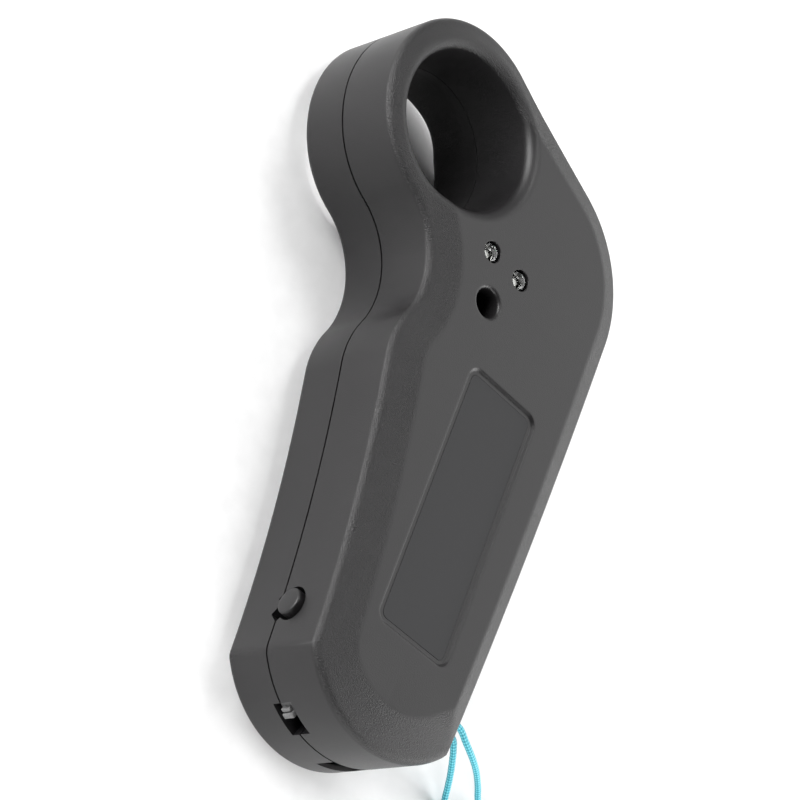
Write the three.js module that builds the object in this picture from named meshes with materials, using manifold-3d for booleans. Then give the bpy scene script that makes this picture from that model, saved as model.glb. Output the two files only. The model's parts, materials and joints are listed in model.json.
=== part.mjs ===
// Handheld remote control with a finger ring, a thumb wheel and a wrist cord.
// It lies on its rear face: +Z points out of the face with the two lamps, +Y runs from the
// grip to the finger ring, and the finger grooves are on the -X side. Millimetres.
import * as THREE from "three";
import { mergeVertices } from "three/addons/utils/BufferGeometryUtils.js";
import Module from "manifold-3d";

const wasm = await Module();
wasm.setup();

// Driving dimensions. X and Y are measured from the centre of the finger ring.
const BORE_RADIUS = 12.5; // a 25 mm ring takes an index finger
const THICKNESS = 22.8;
const SEAM = THICKNESS / 2;
const SEAM_GAP = 0.3;
const WALL = 2;
const CLEAR = 0.3; // gap that touching pieces keep
const FRONT_SLOPE = { height: 1.4, width: 5.2 }; // sloped band round the lamp face
const REAR_SLOPE = { height: 3.2, width: 5.2 };
const ROOF = 20.6; // inside of the lamp face
const FLOOR = 2.2; // inside of the rear face
const RING_WALL = 2.3; // what stays round the bore inside the cavity

const RING = { x: 0, y: 0, r: 16.3 };
const NOTCH_RADIUS = 13.38; // groove for the middle finger
const NOTCH_END = -20; // degrees, where the groove turns into the hump
const HUMP_RADIUS = 13.75;
const HUMP_END = 193.5;
const GRIP_RADIUS = 250; // slow hollow of the grip below the hump
const END_ARC = { x: 23.25, y: -74.6, r: 18.2 }; // butt of the handle
const BACK_RADIUS = 1200; // slow bow of the palm side
const SHOULDER = { x: 18.7, y: -11.95, r: 20.75 };
const SHOULDER_NORMAL = 68.5; // degrees, direction that the slanted shoulder faces

const WHEEL = { x: 27, y: 0.4, r: 10, low: 7.4, high: 15.4, bore: 1.8 };
const WHEEL_RIBS = 22;
const AXLE_RADIUS = 1.5;
const LAMPS = [
  { name: "lamp_power", x: 11.55, y: -14.9 },
  { name: "lamp_link", x: 18.3, y: -15.25 },
];
const LAMP_RADIUS = 1.5;
const SCREWS = [
  { name: "screw_upper", x: 14.2, y: -22.5 },
  { name: "screw_middle", x: 23, y: -38.5 },
  { name: "screw_lower", x: 23, y: -71.5 },
];
const HEAD_SEAT = 15.5; // height of the shoulder that the screw heads press on
const LABEL = { x: 23.04, y: -54.5, w: 15.4, h: 44.2, corner: 1.4, step: 0.3 };
const LABEL_POCKET = { rim: 1.1, depth: 0.95 };
const BOARD = { low: 11.6, high: 12.8, top: -12.5, inset: 3.6 };
const BUTTON = { x: 8.3, y: -78, z: 13.8, r: 2.1, hole: 2.6 };
const SWITCH = { angle: 248, length: 5.5, low: 9.9, high: 13.5, rest: -1.35 };
const SOCKET = { angle: 292.5, length: 8, low: 8.2, high: 11.3 };
const LANYARD = { x: 37.5, y: -78, z: 11.4, length: 4.4, height: 3.4 };
const PIN = { x: 33.4, r: 1 };
const CORD_RADIUS = 0.5;
const COIL = { x: 68.4, y: -90.4, inner: 3.8, outer: 7.8, height: 2.1 };

const rad = THREE.MathUtils.degToRad;

// --- solids ---------------------------------------------------------------------------

function solid(geometry) {
  const bare = geometry.index ? geometry.toNonIndexed() : geometry.clone();
  bare.deleteAttribute("normal");
  bare.deleteAttribute("uv");
  const merged = mergeVertices(bare, 1e-4);
  return new wasm.Manifold(
    new wasm.Mesh({
      numProp: 3,
      vertProperties: merged.attributes.position.array,
      triVerts: new Uint32Array(merged.index.array),
    }),
  );
}

function join(...solids) {
  return solids.reduce((all, next) => all.add(next));
}

function cut(body, ...tools) {
  return tools.reduce((left, tool) => left.subtract(tool), body);
}

function extruded(shape, low, high, curveSegments = 6) {
  const geometry = new THREE.ExtrudeGeometry(shape, {
    depth: high - low,
    bevelEnabled: false,
    curveSegments,
  });
  return solid(geometry.translate(0, 0, low));
}

function disc(x, y, r, low, high, sides = 24) {
  const geometry = new THREE.CylinderGeometry(r, r, high - low, sides);
  return solid(geometry.rotateX(Math.PI / 2).translate(x, y, (low + high) / 2));
}

function block(x, y, z, w, l, h, turn = 0) {
  return solid(new THREE.BoxGeometry(w, l, h).rotateZ(turn).translate(x, y, z));
}

function turned(profile, x, y, sides = 20) {
  const points = profile.map(([r, z]) => new THREE.Vector2(r, z));
  return solid(new THREE.LatheGeometry(points, sides).rotateX(Math.PI / 2).translate(x, y, 0));
}

function roundedRectangle(x, y, w, h, r) {
  const shape = new THREE.Shape();
  shape.absarc(x + w / 2 - r, y + h / 2 - r, r, 0, Math.PI / 2);
  shape.absarc(x - w / 2 + r, y + h / 2 - r, r, Math.PI / 2, Math.PI);
  shape.absarc(x - w / 2 + r, y - h / 2 + r, r, Math.PI, 1.5 * Math.PI);
  shape.absarc(x + w / 2 - r, y - h / 2 + r, r, 1.5 * Math.PI, 2 * Math.PI);
  return shape;
}

function tube(points, radius, steps) {
  const section = new THREE.Shape().absarc(0, 0, radius, 0, 2 * Math.PI);
  const path = new THREE.CatmullRomCurve3(points.map((p) => new THREE.Vector3(...p)));
  return solid(new THREE.ExtrudeGeometry(section, { extrudePath: path, steps, curveSegments: 4 }));
}

// --- the outline of the housing ---------------------------------------------------------

function along(circle, distance, degrees) {
  return {
    x: circle.x + distance * Math.cos(rad(degrees)),
    y: circle.y + distance * Math.sin(rad(degrees)),
  };
}

// Where two circles meet: the crossing to the left of the line from a to b.
function crossing(a, b) {
  const dx = b.x - a.x;
  const dy = b.y - a.y;
  const span = Math.hypot(dx, dy);
  const along = (a.r * a.r - b.r * b.r + span * span) / (2 * span);
  const aside = Math.sqrt(a.r * a.r - along * along);
  return {
    x: a.x + (along * dx - aside * dy) / span,
    y: a.y + (along * dy + aside * dx) / span,
  };
}

function angleOf(circle, point) {
  return Math.atan2(point.y - circle.y, point.x - circle.x);
}

const NOTCH = along(RING, RING.r + NOTCH_RADIUS, 249.5);
const HUMP = along(NOTCH, NOTCH_RADIUS + HUMP_RADIUS, NOTCH_END);
const GRIP = along(HUMP, HUMP_RADIUS + GRIP_RADIUS, HUMP_END);
const BACK = along(SHOULDER, SHOULDER.r - BACK_RADIUS, 0);

// The housing's outline, moved in by inset all the way round.
function outline(inset = 0) {
  const grip = { ...GRIP, r: GRIP_RADIUS + inset };
  const end = { ...END_ARC, r: END_ARC.r - inset };
  const back = { ...BACK, r: BACK_RADIUS - inset };
  const heel = crossing(end, grip);
  const toe = crossing(end, back);
  const shape = new THREE.Shape();
  shape.absarc(RING.x, RING.y, RING.r - inset, rad(SHOULDER_NORMAL), rad(180));
  shape.absarc(RING.x, RING.y, RING.r - inset, rad(180), rad(249.5));
  shape.absarc(NOTCH.x, NOTCH.y, NOTCH_RADIUS + inset, rad(69.5), rad(NOTCH_END), true);
  shape.absarc(HUMP.x, HUMP.y, HUMP_RADIUS - inset, rad(NOTCH_END + 180), rad(HUMP_END));
  shape.absarc(grip.x, grip.y, grip.r, rad(HUMP_END - 180), angleOf(grip, heel), true);
  shape.absarc(end.x, end.y, end.r, angleOf(end, heel), angleOf(end, toe));
  shape.absarc(back.x, back.y, back.r, angleOf(back, toe), 0);
  shape.absarc(SHOULDER.x, SHOULDER.y, SHOULDER.r - inset, 0, rad(SHOULDER_NORMAL));
  return shape;
}

// The whole block with a sloped band of the given height at both faces.
function slopedBlock(slope) {
  const geometry = new THREE.ExtrudeGeometry(outline(), {
    depth: THICKNESS - 2 * slope.height,
    bevelThickness: slope.height,
    bevelSize: slope.width,
    bevelOffset: -slope.width,
    bevelSegments: 1,
    curveSegments: 6,
  });
  return solid(geometry.translate(0, 0, slope.height));
}

function labelShape(inset) {
  const { x, y, w, h, corner } = LABEL;
  return roundedRectangle(x, y, w - 2 * inset, h - 2 * inset, Math.max(corner - inset, 0.4));
}

// --- cut-outs that both housing halves share ----------------------------------------------

const endPoint = (angle, inset) => along(END_ARC, END_ARC.r - inset, angle);
const tangentTurn = (angle) => rad(angle + 90);

function openings() {
  const switchAt = endPoint(SWITCH.angle, WALL);
  const socketAt = endPoint(SOCKET.angle, WALL);
  const switchMid = (SWITCH.low + SWITCH.high) / 2;
  const socketMid = (SOCKET.low + SOCKET.high) / 2;
  const buttonHole = new THREE.CylinderGeometry(BUTTON.hole, BUTTON.hole, 10, 24);
  buttonHole.rotateZ(Math.PI / 2).translate(BUTTON.x, BUTTON.y, BUTTON.z);
  return join(
    disc(WHEEL.x, WHEEL.y, WHEEL.r + 0.8, WHEEL.low - 0.6, WHEEL.high + 0.6, 40),
    block(switchAt.x, switchAt.y, switchMid, SWITCH.length, 8, SWITCH.high - SWITCH.low,
      tangentTurn(SWITCH.angle)),
    block(socketAt.x, socketAt.y, socketMid, SOCKET.length, 8, SOCKET.high - SOCKET.low,
      tangentTurn(SOCKET.angle)),
    block(LANYARD.x - 1, LANYARD.y, LANYARD.z, 9, LANYARD.length, LANYARD.height),
    solid(buttonHole),
  );
}

function cavity(low, high) {
  return cut(extruded(outline(WALL), low, high), disc(0, 0, BORE_RADIUS + RING_WALL, 0, 30, 48));
}

// --- housing halves -----------------------------------------------------------------------

function screwSeat(at, top) {
  return turned(
    [[1.4, 14.3], [3.4, 14.3], [3.4, top], [2.6, top], [2.6, HEAD_SEAT], [1.4, HEAD_SEAT], [1.4, 14.3]],
    at.x, at.y,
  );
}

function stub(x, y, outer, inner, low, high) {
  return cut(disc(x, y, outer, low, high), disc(x, y, inner, low - 1, high + 1));
}

function frontShell() {
  const bottom = SEAM + SEAM_GAP / 2;
  const half = cut(slopedBlock(FRONT_SLOPE), block(10, -38, bottom - 20, 200, 200, 40));
  const hollow = cut(half, cavity(0, ROOF), disc(0, 0, BORE_RADIUS, -1, 30, 48));
  const holes = join(
    ...SCREWS.map((s) => disc(s.x, s.y, 2.6, HEAD_SEAT, 30)),
    ...LAMPS.map((l) => disc(l.x, l.y, LAMP_RADIUS + CLEAR, 19, 30)),
    extruded(labelShape(0), THICKNESS - LABEL.step, 30),
    extruded(labelShape(LABEL_POCKET.rim), THICKNESS - LABEL_POCKET.depth, 30),
    openings(),
  );
  return join(
    cut(hollow, holes),
    ...SCREWS.map((s) => screwSeat(s, ROOF + 0.5)),
    stub(WHEEL.x, WHEEL.y, 3, AXLE_RADIUS + CLEAR, 18, ROOF + 0.3),
    stub(PIN.x, LANYARD.y, 2, PIN.r + CLEAR, 17, ROOF + 0.3),
  );
}

function rearShell() {
  const top = SEAM - SEAM_GAP / 2;
  const half = cut(slopedBlock(REAR_SLOPE), block(10, -38, top + 20, 200, 200, 40));
  const hollow = cut(half, cavity(FLOOR, 30), disc(0, 0, BORE_RADIUS, -1, 30, 48));
  // The lip stands inside the seam and keeps the halves in line.
  const lip = join(
    cut(extruded(outline(WALL - 0.3), 8.6, top), extruded(outline(WALL + 1.2), 8, 13)),
    cut(extruded(outline(WALL + CLEAR), 8.6, 12.6), extruded(outline(WALL + 1.2), 8, 13)),
  );
  const trimmed = cut(lip, disc(0, 0, BORE_RADIUS + RING_WALL + 0.4, 0, 30, 48));
  return join(
    cut(join(hollow, trimmed), openings()),
    ...SCREWS.map((s) => stub(s.x, s.y, 3.2, 1.35, FLOOR - 0.3, 14)),
    stub(WHEEL.x, WHEEL.y, 3, AXLE_RADIUS + CLEAR, FLOOR - 0.3, 4.2),
    stub(PIN.x, LANYARD.y, 2, PIN.r + CLEAR, FLOOR - 0.3, 5.5),
  );
}

// --- electronics ----------------------------------------------------------------------------

function mainBoard() {
  const board = extruded(outline(BOARD.inset), BOARD.low, BOARD.high);
  const above = block(10, BOARD.top + 50, 12, 200, 100, 10);
  const holes = SCREWS.map((s) => disc(s.x, s.y, 3.8, 10, 14));
  const pinHole = block(PIN.x + 2, LANYARD.y, 12, 8, 7, 4);
  const buttonSide = block(BUTTON.x, BUTTON.y, 12, 5, 8, 4);
  const switchAt = endPoint(SWITCH.angle, 5);
  const switchSide = block(switchAt.x, switchAt.y, 12, 9, 12, 4, tangentTurn(SWITCH.angle));
  return cut(board, above, ...holes, pinHole, buttonSide, switchSide,
    disc(WHEEL.x, WHEEL.y, WHEEL.r + 1.6, 10, 14, 40), disc(0, 0, BORE_RADIUS + 3, 10, 14, 48));
}

function lamp(at) {
  const base = THICKNESS - 6.6;
  const dome = Array.from({ length: 5 }, (_, i) => {
    const a = rad(i * 22.5);
    return [LAMP_RADIUS * Math.cos(a), THICKNESS - 1.8 + LAMP_RADIUS * Math.sin(a)];
  });
  const body = turned([[0, base], [1.9, base], [1.9, base + 1], [LAMP_RADIUS, base + 1], ...dome], at.x, at.y);
  const legs = [-0.6, 0.6].map((dx) => block(at.x + dx, at.y, 14.7, 0.5, 0.5, 3.2));
  return join(body, ...legs);
}

function batteryLead(side) {
  return tube(
    [
      [18 + side, -40.8, 7.2],
      [18 + side, -38.5, 8.6],
      [16.5 + side, -35, 9.2],
      [15 + side, -32.4, 9.4],
    ],
    0.5, 10,
  );
}

// --- controls -------------------------------------------------------------------------------

function throttleWheel() {
  const shape = new THREE.Shape();
  const stepsPerRib = 4;
  for (let i = 0; i < WHEEL_RIBS * stepsPerRib; i++) {
    const turn = (2 * Math.PI * i) / (WHEEL_RIBS * stepsPerRib);
    const r = WHEEL.r - 0.35 + 0.35 * Math.cos(WHEEL_RIBS * turn);
    shape[i ? "lineTo" : "moveTo"](WHEEL.x + r * Math.cos(turn), WHEEL.y + r * Math.sin(turn));
  }
  return cut(
    extruded(shape, WHEEL.low, WHEEL.high),
    disc(WHEEL.x, WHEEL.y, WHEEL.bore, 0, 30),
    disc(WHEEL.x, WHEEL.y - 6, 1.8, 0, WHEEL.low + 2.4),
  );
}

function returnSpring() {
  const turns = 2.5;
  const points = Array.from({ length: 31 }, (_, i) => {
    const a = (2 * Math.PI * turns * i) / 30;
    return [WHEEL.x + 3.2 * Math.cos(a), WHEEL.y + 3.2 * Math.sin(a), 4.9 + (1.8 * i) / 30];
  });
  return tube(points, 0.25, 40);
}

function pairingButton() {
  const cap = new THREE.CylinderGeometry(BUTTON.r, BUTTON.r, 3.6, 24);
  const stem = new THREE.CylinderGeometry(1, 1, 2, 12);
  cap.rotateZ(Math.PI / 2).translate(BUTTON.x + 0.3, BUTTON.y, BUTTON.z);
  stem.rotateZ(Math.PI / 2).translate(BUTTON.x + 2.4, BUTTON.y, BUTTON.z);
  return join(solid(cap), solid(stem));
}

// The knob rests towards the button end of its slot and slides along the slot.
function switchKnob() {
  const middle = (SWITCH.low + SWITCH.high) / 2;
  const turn = tangentTurn(SWITCH.angle);
  const piece = (depth, along, length, thick, high) => {
    const at = endPoint(SWITCH.angle, depth);
    const x = at.x + along * Math.cos(turn);
    const y = at.y + along * Math.sin(turn);
    return block(x, y, middle, length, thick, high, turn);
  };
  return join(piece(2, SWITCH.rest, 2.2, 2.4, 2.4), piece(0.7, SWITCH.rest + 0.3, 1.2, 1.6, 2));
}

function switchBody() {
  const at = endPoint(SWITCH.angle, 6.1);
  return block(at.x, at.y, 11.7, 8, 4.2, 3.6, tangentTurn(SWITCH.angle));
}

function chargeSocket() {
  const at = endPoint(SOCKET.angle, 4.2);
  const turn = tangentTurn(SOCKET.angle);
  const mouth = endPoint(SOCKET.angle, 2.2);
  const tongue = endPoint(SOCKET.angle, 3.6);
  const middle = (SOCKET.low + SOCKET.high) / 2;
  return join(
    cut(
      block(at.x, at.y, middle, 7.4, 6, 2.5, turn),
      block(mouth.x, mouth.y, middle, 6.6, 5, 1.7, turn),
    ),
    block(tongue.x, tongue.y, middle, 4, 4.4, 0.6, turn),
  );
}

// --- wrist cord -----------------------------------------------------------------------------

const CORD_LEADS = {
  wrist_cord_lead_a: [
    [34.9, -77.4, 12], [37.6, -77.1, 12.1], [41.5, -76.3, 12.2], [45.4, -75.9, 11.9],
    [48.2, -76.7, 11.1], [51.7, -77.3, 9.6], [55, -77.6, 7.6], [58.5, -78.1, 5], [61, -78.6, 3],
    [64, -78.9, 1.3], [67, -79.1, 0.6], [69.6, -79.9, 0.55], [71.3, -81.3, 0.55],
    [72.3, -82.8, 0.55],
  ],
  wrist_cord_lead_b: [
    [34.9, -78.6, 10.7], [37.6, -78.5, 10.8], [41.5, -77.8, 10.9], [44.5, -77.1, 10.6],
    [46.7, -77, 9.9], [48.2, -77.6, 8.9], [50.1, -78.4, 7.3], [52.4, -79.3, 5.2],
    [54.6, -80.3, 3], [56.1, -81.3, 1.5], [57.4, -83.2, 0.6], [58.2, -85.5, 0.6],
    [59, -87.8, 0.9], [59.8, -89.7, 1.2],
  ],
};

function cordCoil() {
  const { inner, outer, height } = COIL;
  const foot = 0.05;
  const section = [[inner, foot], [outer, foot], [outer, height], [inner, height], [inner, foot]];
  return turned(section, COIL.x, COIL.y, 32);
}

// --- assembly ---------------------------------------------------------------------------------

const FINISHES = {
  shell: { color: 0x4a4a4c, roughness: 0.6, metalness: 0 },
  label: { color: 0x3f3f41, roughness: 0.5, metalness: 0 },
  rubber: { color: 0x1f1f20, roughness: 0.8, metalness: 0 },
  steel: { color: 0xb8bcc0, roughness: 0.3, metalness: 1 },
  blackSteel: { color: 0x2c2c2e, roughness: 0.4, metalness: 0.8 },
  clear: { color: 0xd8dde0, roughness: 0.1, metalness: 0 },
  board: { color: 0x1c5a34, roughness: 0.5, metalness: 0 },
  chip: { color: 0x161617, roughness: 0.5, metalness: 0 },
  foil: { color: 0x9aa0a6, roughness: 0.35, metalness: 0.6 },
  white: { color: 0xe6e4dc, roughness: 0.5, metalness: 0 },
  grey: { color: 0x9c9c9e, roughness: 0.5, metalness: 0 },
  red: { color: 0xb02020, roughness: 0.5, metalness: 0 },
  cord: { color: 0x2fb5c8, roughness: 0.7, metalness: 0 },
};

const remote = new THREE.Group();
// The frame's origin is under the middle of the housing.
remote.position.set(-(SHOULDER.x + SHOULDER.r - RING.r) / 2, -(END_ARC.y - END_ARC.r + RING.r) / 2, 0);

function place(name, body, finish) {
  const mesh = body.getMesh();
  const geometry = new THREE.BufferGeometry();
  geometry.setAttribute("position", new THREE.BufferAttribute(mesh.vertProperties, 3));
  geometry.setIndex(new THREE.BufferAttribute(mesh.triVerts, 1));
  geometry.computeVertexNormals();
  const placed = new THREE.Mesh(geometry, new THREE.MeshStandardMaterial(FINISHES[finish]));
  placed.name = name;
  remote.add(placed);
}

place("front_shell", frontShell(), "shell");
place("rear_shell", rearShell(), "shell");
const labelBottom = THICKNESS - LABEL_POCKET.depth + CLEAR;
place(
  "label_plate",
  extruded(labelShape(LABEL_POCKET.rim + CLEAR), labelBottom, THICKNESS - LABEL.step - 0.05),
  "label",
);
for (const at of SCREWS) {
  const slot = block(at.x, at.y, HEAD_SEAT + 1.8, 0.6, 3, 1);
  const crossSlot = block(at.x, at.y, HEAD_SEAT + 1.8, 3, 0.6, 1);
  const shank = [[0, 6], [1, 6.8], [1, HEAD_SEAT + CLEAR], [2.1, HEAD_SEAT + CLEAR]];
  const head = [[2.1, HEAD_SEAT + 1.1], [1.4, HEAD_SEAT + 1.8], [0, HEAD_SEAT + 1.8]];
  place(at.name, cut(turned([...shank, ...head], at.x, at.y), slot, crossSlot), "blackSteel");
}
for (const at of LAMPS) {
  place(at.name, lamp(at), "clear");
}

place("main_board", mainBoard(), "board");
place("control_chip", block(20, -52, 13.9, 7, 7, 1.6), "chip");
place("radio_module", block(17, -30, 13.6, 12, 8, 1), "board");
place("radio_shield", block(16, -30, 15.3, 8, 6.4, 1.8), "foil");
place("hall_sensor", block(27, -13.9, 13.9, 4, 1.6, 1.6), "chip");
place("tact_switch", block(BUTTON.x + 6.1, BUTTON.y, BUTTON.z, 4, 6, 4.2).subtract(
  block(BUTTON.x + 6.1, BUTTON.y, 11.1, 10, 10, 4)), "chip");
place("battery_cell", extruded(roundedRectangle(23, -55.2, 20, 26, 2), 2.6, 8.6), "foil");
place("battery_plug", block(14.6, -30.2, 9.4, 5, 3.6, 3.6), "white");
place("battery_lead_red", batteryLead(-1), "red");
place("battery_lead_black", batteryLead(0.6), "chip");
place("charge_socket", chargeSocket(), "steel");
place("power_switch_body", switchBody(), "blackSteel");
place("power_switch_knob", switchKnob(), "grey");
place("pairing_button", pairingButton(), "shell");

place("throttle_wheel", throttleWheel(), "rubber");
place("wheel_axle", disc(WHEEL.x, WHEEL.y, AXLE_RADIUS, FLOOR + CLEAR, ROOF - CLEAR), "steel");
place("wheel_magnet", disc(WHEEL.x, WHEEL.y - 6, 1.5, WHEEL.low, WHEEL.low + 2.1), "steel");
place("wheel_spring", returnSpring(), "steel");
place("lanyard_pin", disc(PIN.x, LANYARD.y, PIN.r, FLOOR + CLEAR, ROOF - CLEAR, 16), "steel");

for (const [name, points] of Object.entries(CORD_LEADS)) {
  place(name, tube(points, CORD_RADIUS, 26), "cord");
}
place("wrist_cord_coil", cordCoil(), "cord");

export default remote;
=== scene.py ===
"""Handheld remote control: the looks of the housing, its controls and its wrist cord.

Sizes are in millimetres in the drawing helpers, measured from the centre of the finger ring,
and become metres in the frame's own axes when a mesh is made.
"""

import json
import math

import bmesh
import bpy
import numpy as np
from mathutils import Matrix, Vector
from mathutils.geometry import delaunay_2d_cdt

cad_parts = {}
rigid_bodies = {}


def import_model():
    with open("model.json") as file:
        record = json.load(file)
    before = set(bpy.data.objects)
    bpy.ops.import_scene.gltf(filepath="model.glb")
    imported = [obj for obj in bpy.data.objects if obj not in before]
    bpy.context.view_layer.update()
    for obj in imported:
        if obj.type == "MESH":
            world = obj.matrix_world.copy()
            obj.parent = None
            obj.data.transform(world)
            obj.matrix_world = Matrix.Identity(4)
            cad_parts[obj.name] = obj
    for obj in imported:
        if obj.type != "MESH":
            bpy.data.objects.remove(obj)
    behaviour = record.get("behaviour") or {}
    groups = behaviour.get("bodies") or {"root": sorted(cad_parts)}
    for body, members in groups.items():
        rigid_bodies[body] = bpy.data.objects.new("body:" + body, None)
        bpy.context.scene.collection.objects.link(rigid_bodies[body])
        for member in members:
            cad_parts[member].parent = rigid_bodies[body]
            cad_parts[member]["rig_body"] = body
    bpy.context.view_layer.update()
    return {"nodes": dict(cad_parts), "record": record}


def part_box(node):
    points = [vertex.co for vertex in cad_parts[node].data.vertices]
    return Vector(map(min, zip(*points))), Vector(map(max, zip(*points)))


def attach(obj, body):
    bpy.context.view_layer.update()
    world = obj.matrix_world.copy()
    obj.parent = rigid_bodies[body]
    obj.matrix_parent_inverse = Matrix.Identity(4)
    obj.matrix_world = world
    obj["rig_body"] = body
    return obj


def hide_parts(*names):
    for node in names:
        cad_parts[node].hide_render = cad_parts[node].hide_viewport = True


bl_info = {
    "name": "Ring remote control",
    "version": (1, 0, 0),
    "blender": (4, 5, 0),
    "location": "View3D > Sidebar > Remote",
    "description": "Moulded housing, controls and braided wrist cord of a handheld remote",
    "category": "Object",
}

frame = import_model()
MM = 0.001


def ring_centre():
    """The middle of the finger ring, from the opening that the record states."""
    low, high = frame["record"]["physics"]["openings"][0]["box_m"]
    return (low[0] + high[0]) / 2, (low[1] + high[1]) / 2


RING_X, RING_Y = ring_centre()
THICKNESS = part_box("front_shell")[1].z / MM
SEAM = THICKNESS / 2
SEAM_GAP = 0.3


def place(x, y, z):
    """A drawing point in mm as a point of the frame in metres."""
    return Vector((RING_X + x * MM, RING_Y + y * MM, z * MM))


def node_centre(node):
    """The middle of a node's box in the frame."""
    low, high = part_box(node)
    return (low + high) / 2


# --- the housing's outline ------------------------------------------------------------------

BORE_RADIUS = 12.5
RING_RADIUS = 16.3
NOTCH_RADIUS, NOTCH_END = 13.38, -20
HUMP_RADIUS, HUMP_END = 13.75, 193.5
GRIP_RADIUS = 250
END_CENTRE, END_RADIUS = (23.25, -74.6), 18.2
BACK_RADIUS = 1200
SHOULDER_CENTRE, SHOULDER_RADIUS, SHOULDER_NORMAL = (18.7, -11.95), 20.75, 68.5
RING_TO_NOTCH = 249.5
SWELL, SWELL_TURN = 1.1, 122


def polar(centre, distance, degrees):
    """The point at a distance and a bearing from a centre."""
    a = math.radians(degrees)
    return centre[0] + distance * math.cos(a), centre[1] + distance * math.sin(a)


def crossing(a, ra, b, rb):
    """Where two circles meet, on the left of the line from a to b."""
    dx, dy = b[0] - a[0], b[1] - a[1]
    span = math.hypot(dx, dy)
    along = (ra * ra - rb * rb + span * span) / (2 * span)
    aside = math.sqrt(ra * ra - along * along)
    return a[0] + (along * dx - aside * dy) / span, a[1] + (along * dy + aside * dx) / span


def bearing(centre, point):
    """The direction from a centre to a point, in degrees."""
    return math.degrees(math.atan2(point[1] - centre[1], point[0] - centre[0]))


NOTCH_CENTRE = polar((0, 0), RING_RADIUS + NOTCH_RADIUS, RING_TO_NOTCH)
HUMP_CENTRE = polar(NOTCH_CENTRE, NOTCH_RADIUS + HUMP_RADIUS, NOTCH_END)
GRIP_CENTRE = polar(HUMP_CENTRE, HUMP_RADIUS + GRIP_RADIUS, HUMP_END)
BACK_CENTRE = (SHOULDER_CENTRE[0] + SHOULDER_RADIUS - BACK_RADIUS, SHOULDER_CENTRE[1])


def arc(centre, radius, start, end, step):
    """Points along an arc, about a step apart, without its last one."""
    count = max(2, round(abs(math.radians(end - start)) * radius / step))
    return [polar(centre, radius, start + (end - start) * i / count) for i in range(count)]


def outline_sides(inset, step):
    """The long side from the heel round the ring to the toe, and the butt, each ending at a corner."""
    grip, end, back = GRIP_RADIUS + inset, END_RADIUS - inset, BACK_RADIUS - inset
    heel = crossing(END_CENTRE, end, GRIP_CENTRE, grip)
    toe = crossing(END_CENTRE, end, BACK_CENTRE, back)
    side = arc(BACK_CENTRE, back, bearing(BACK_CENTRE, toe), 0, step)
    side += arc(SHOULDER_CENTRE, SHOULDER_RADIUS - inset, 0, SHOULDER_NORMAL, step)
    slant_start = polar(SHOULDER_CENTRE, SHOULDER_RADIUS - inset, SHOULDER_NORMAL)
    slant_end = polar((0, 0), RING_RADIUS - inset, SHOULDER_NORMAL)
    count = max(2, round(math.dist(slant_start, slant_end) / step))
    side += [tuple(np.add(np.multiply(slant_start, 1 - t), np.multiply(slant_end, t)))
             for t in np.arange(count) / count]
    side += arc((0, 0), RING_RADIUS - inset, SHOULDER_NORMAL, RING_TO_NOTCH, step)
    side += arc(NOTCH_CENTRE, NOTCH_RADIUS + inset, RING_TO_NOTCH - 180, NOTCH_END, step)
    side += arc(HUMP_CENTRE, HUMP_RADIUS - inset, NOTCH_END + 180, HUMP_END, step)
    side += arc(GRIP_CENTRE, grip, HUMP_END - 180, bearing(GRIP_CENTRE, heel), step)
    butt = arc(END_CENTRE, end, bearing(END_CENTRE, heel), bearing(END_CENTRE, toe), step)
    return swollen(np.array(side + [heel])), np.array(butt + [toe])


def swollen(points):
    """The ring stands slightly fuller on the side away from the grip."""
    away = np.linalg.norm(points, axis=1)
    turn = np.arctan2(points[:, 1], points[:, 0]) - math.radians(SWELL_TURN)
    reach = np.clip((2 * RING_RADIUS - away) / RING_RADIUS, 0, 1)
    amount = SWELL * np.clip(np.cos(turn), 0, 1) ** 2 * reach
    return points * (1 + amount / away)[:, None]


def bend(before, tip, after, steps):
    """A curve from one point to another that turns round the tip between them."""
    t = np.linspace(0, 1, steps + 1)[:, None]
    return (1 - t) ** 2 * before + 2 * t * (1 - t) * tip + t ** 2 * after


def outline_loop(inset, step, corner=0.0):
    """The closed outline, with its two corners rounded over the given length."""
    side, butt = outline_sides(inset, step)
    if not corner:
        return np.vstack([side[:-1], butt[:-1]])
    side_path, butt_path = trimmed(side, corner), trimmed(butt, corner)
    heel = bend(side_path[-1], side[-1], butt_path[0], 6)[1:-1]
    toe = bend(butt_path[-1], butt[-1], side_path[0], 6)[1:-1]
    return np.vstack([side_path, heel, butt_path, toe])


def trimmed(path, length):
    """A path without its first and last stretch of the given length."""
    run = np.concatenate([[0], np.cumsum(np.linalg.norm(np.diff(path, axis=0), axis=1))])
    keep = (run > length) & (run < run[-1] - length)
    ends = [[np.interp(s, run, path[:, k]) for k in (0, 1)] for s in (length, run[-1] - length)]
    return np.vstack([[ends[0]], path[keep], [ends[1]]])


def distance_to(path, points):
    """Each point's distance to a path, and how far along the path (0 to 1) the nearest place is."""
    start, leg = path[:-1], np.diff(path, axis=0)
    size = (leg ** 2).sum(1)
    run = np.concatenate([[0], np.cumsum(np.sqrt(size))])
    gap, share = np.empty(len(points)), np.empty(len(points))
    for i, p in enumerate(points):
        t = np.clip(((p - start) * leg).sum(1) / size, 0, 1)
        away = np.linalg.norm(start + leg * t[:, None] - p, axis=1)
        k = int(away.argmin())
        gap[i] = away[k]
        share[i] = (run[k] + t[k] * math.sqrt(size[k])) / run[-1]
    return gap, share


# --- the shape of a housing face ---------------------------------------------------------------

SIDE_PATH, BUTT_PATH = outline_sides(0, 0.6)
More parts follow.
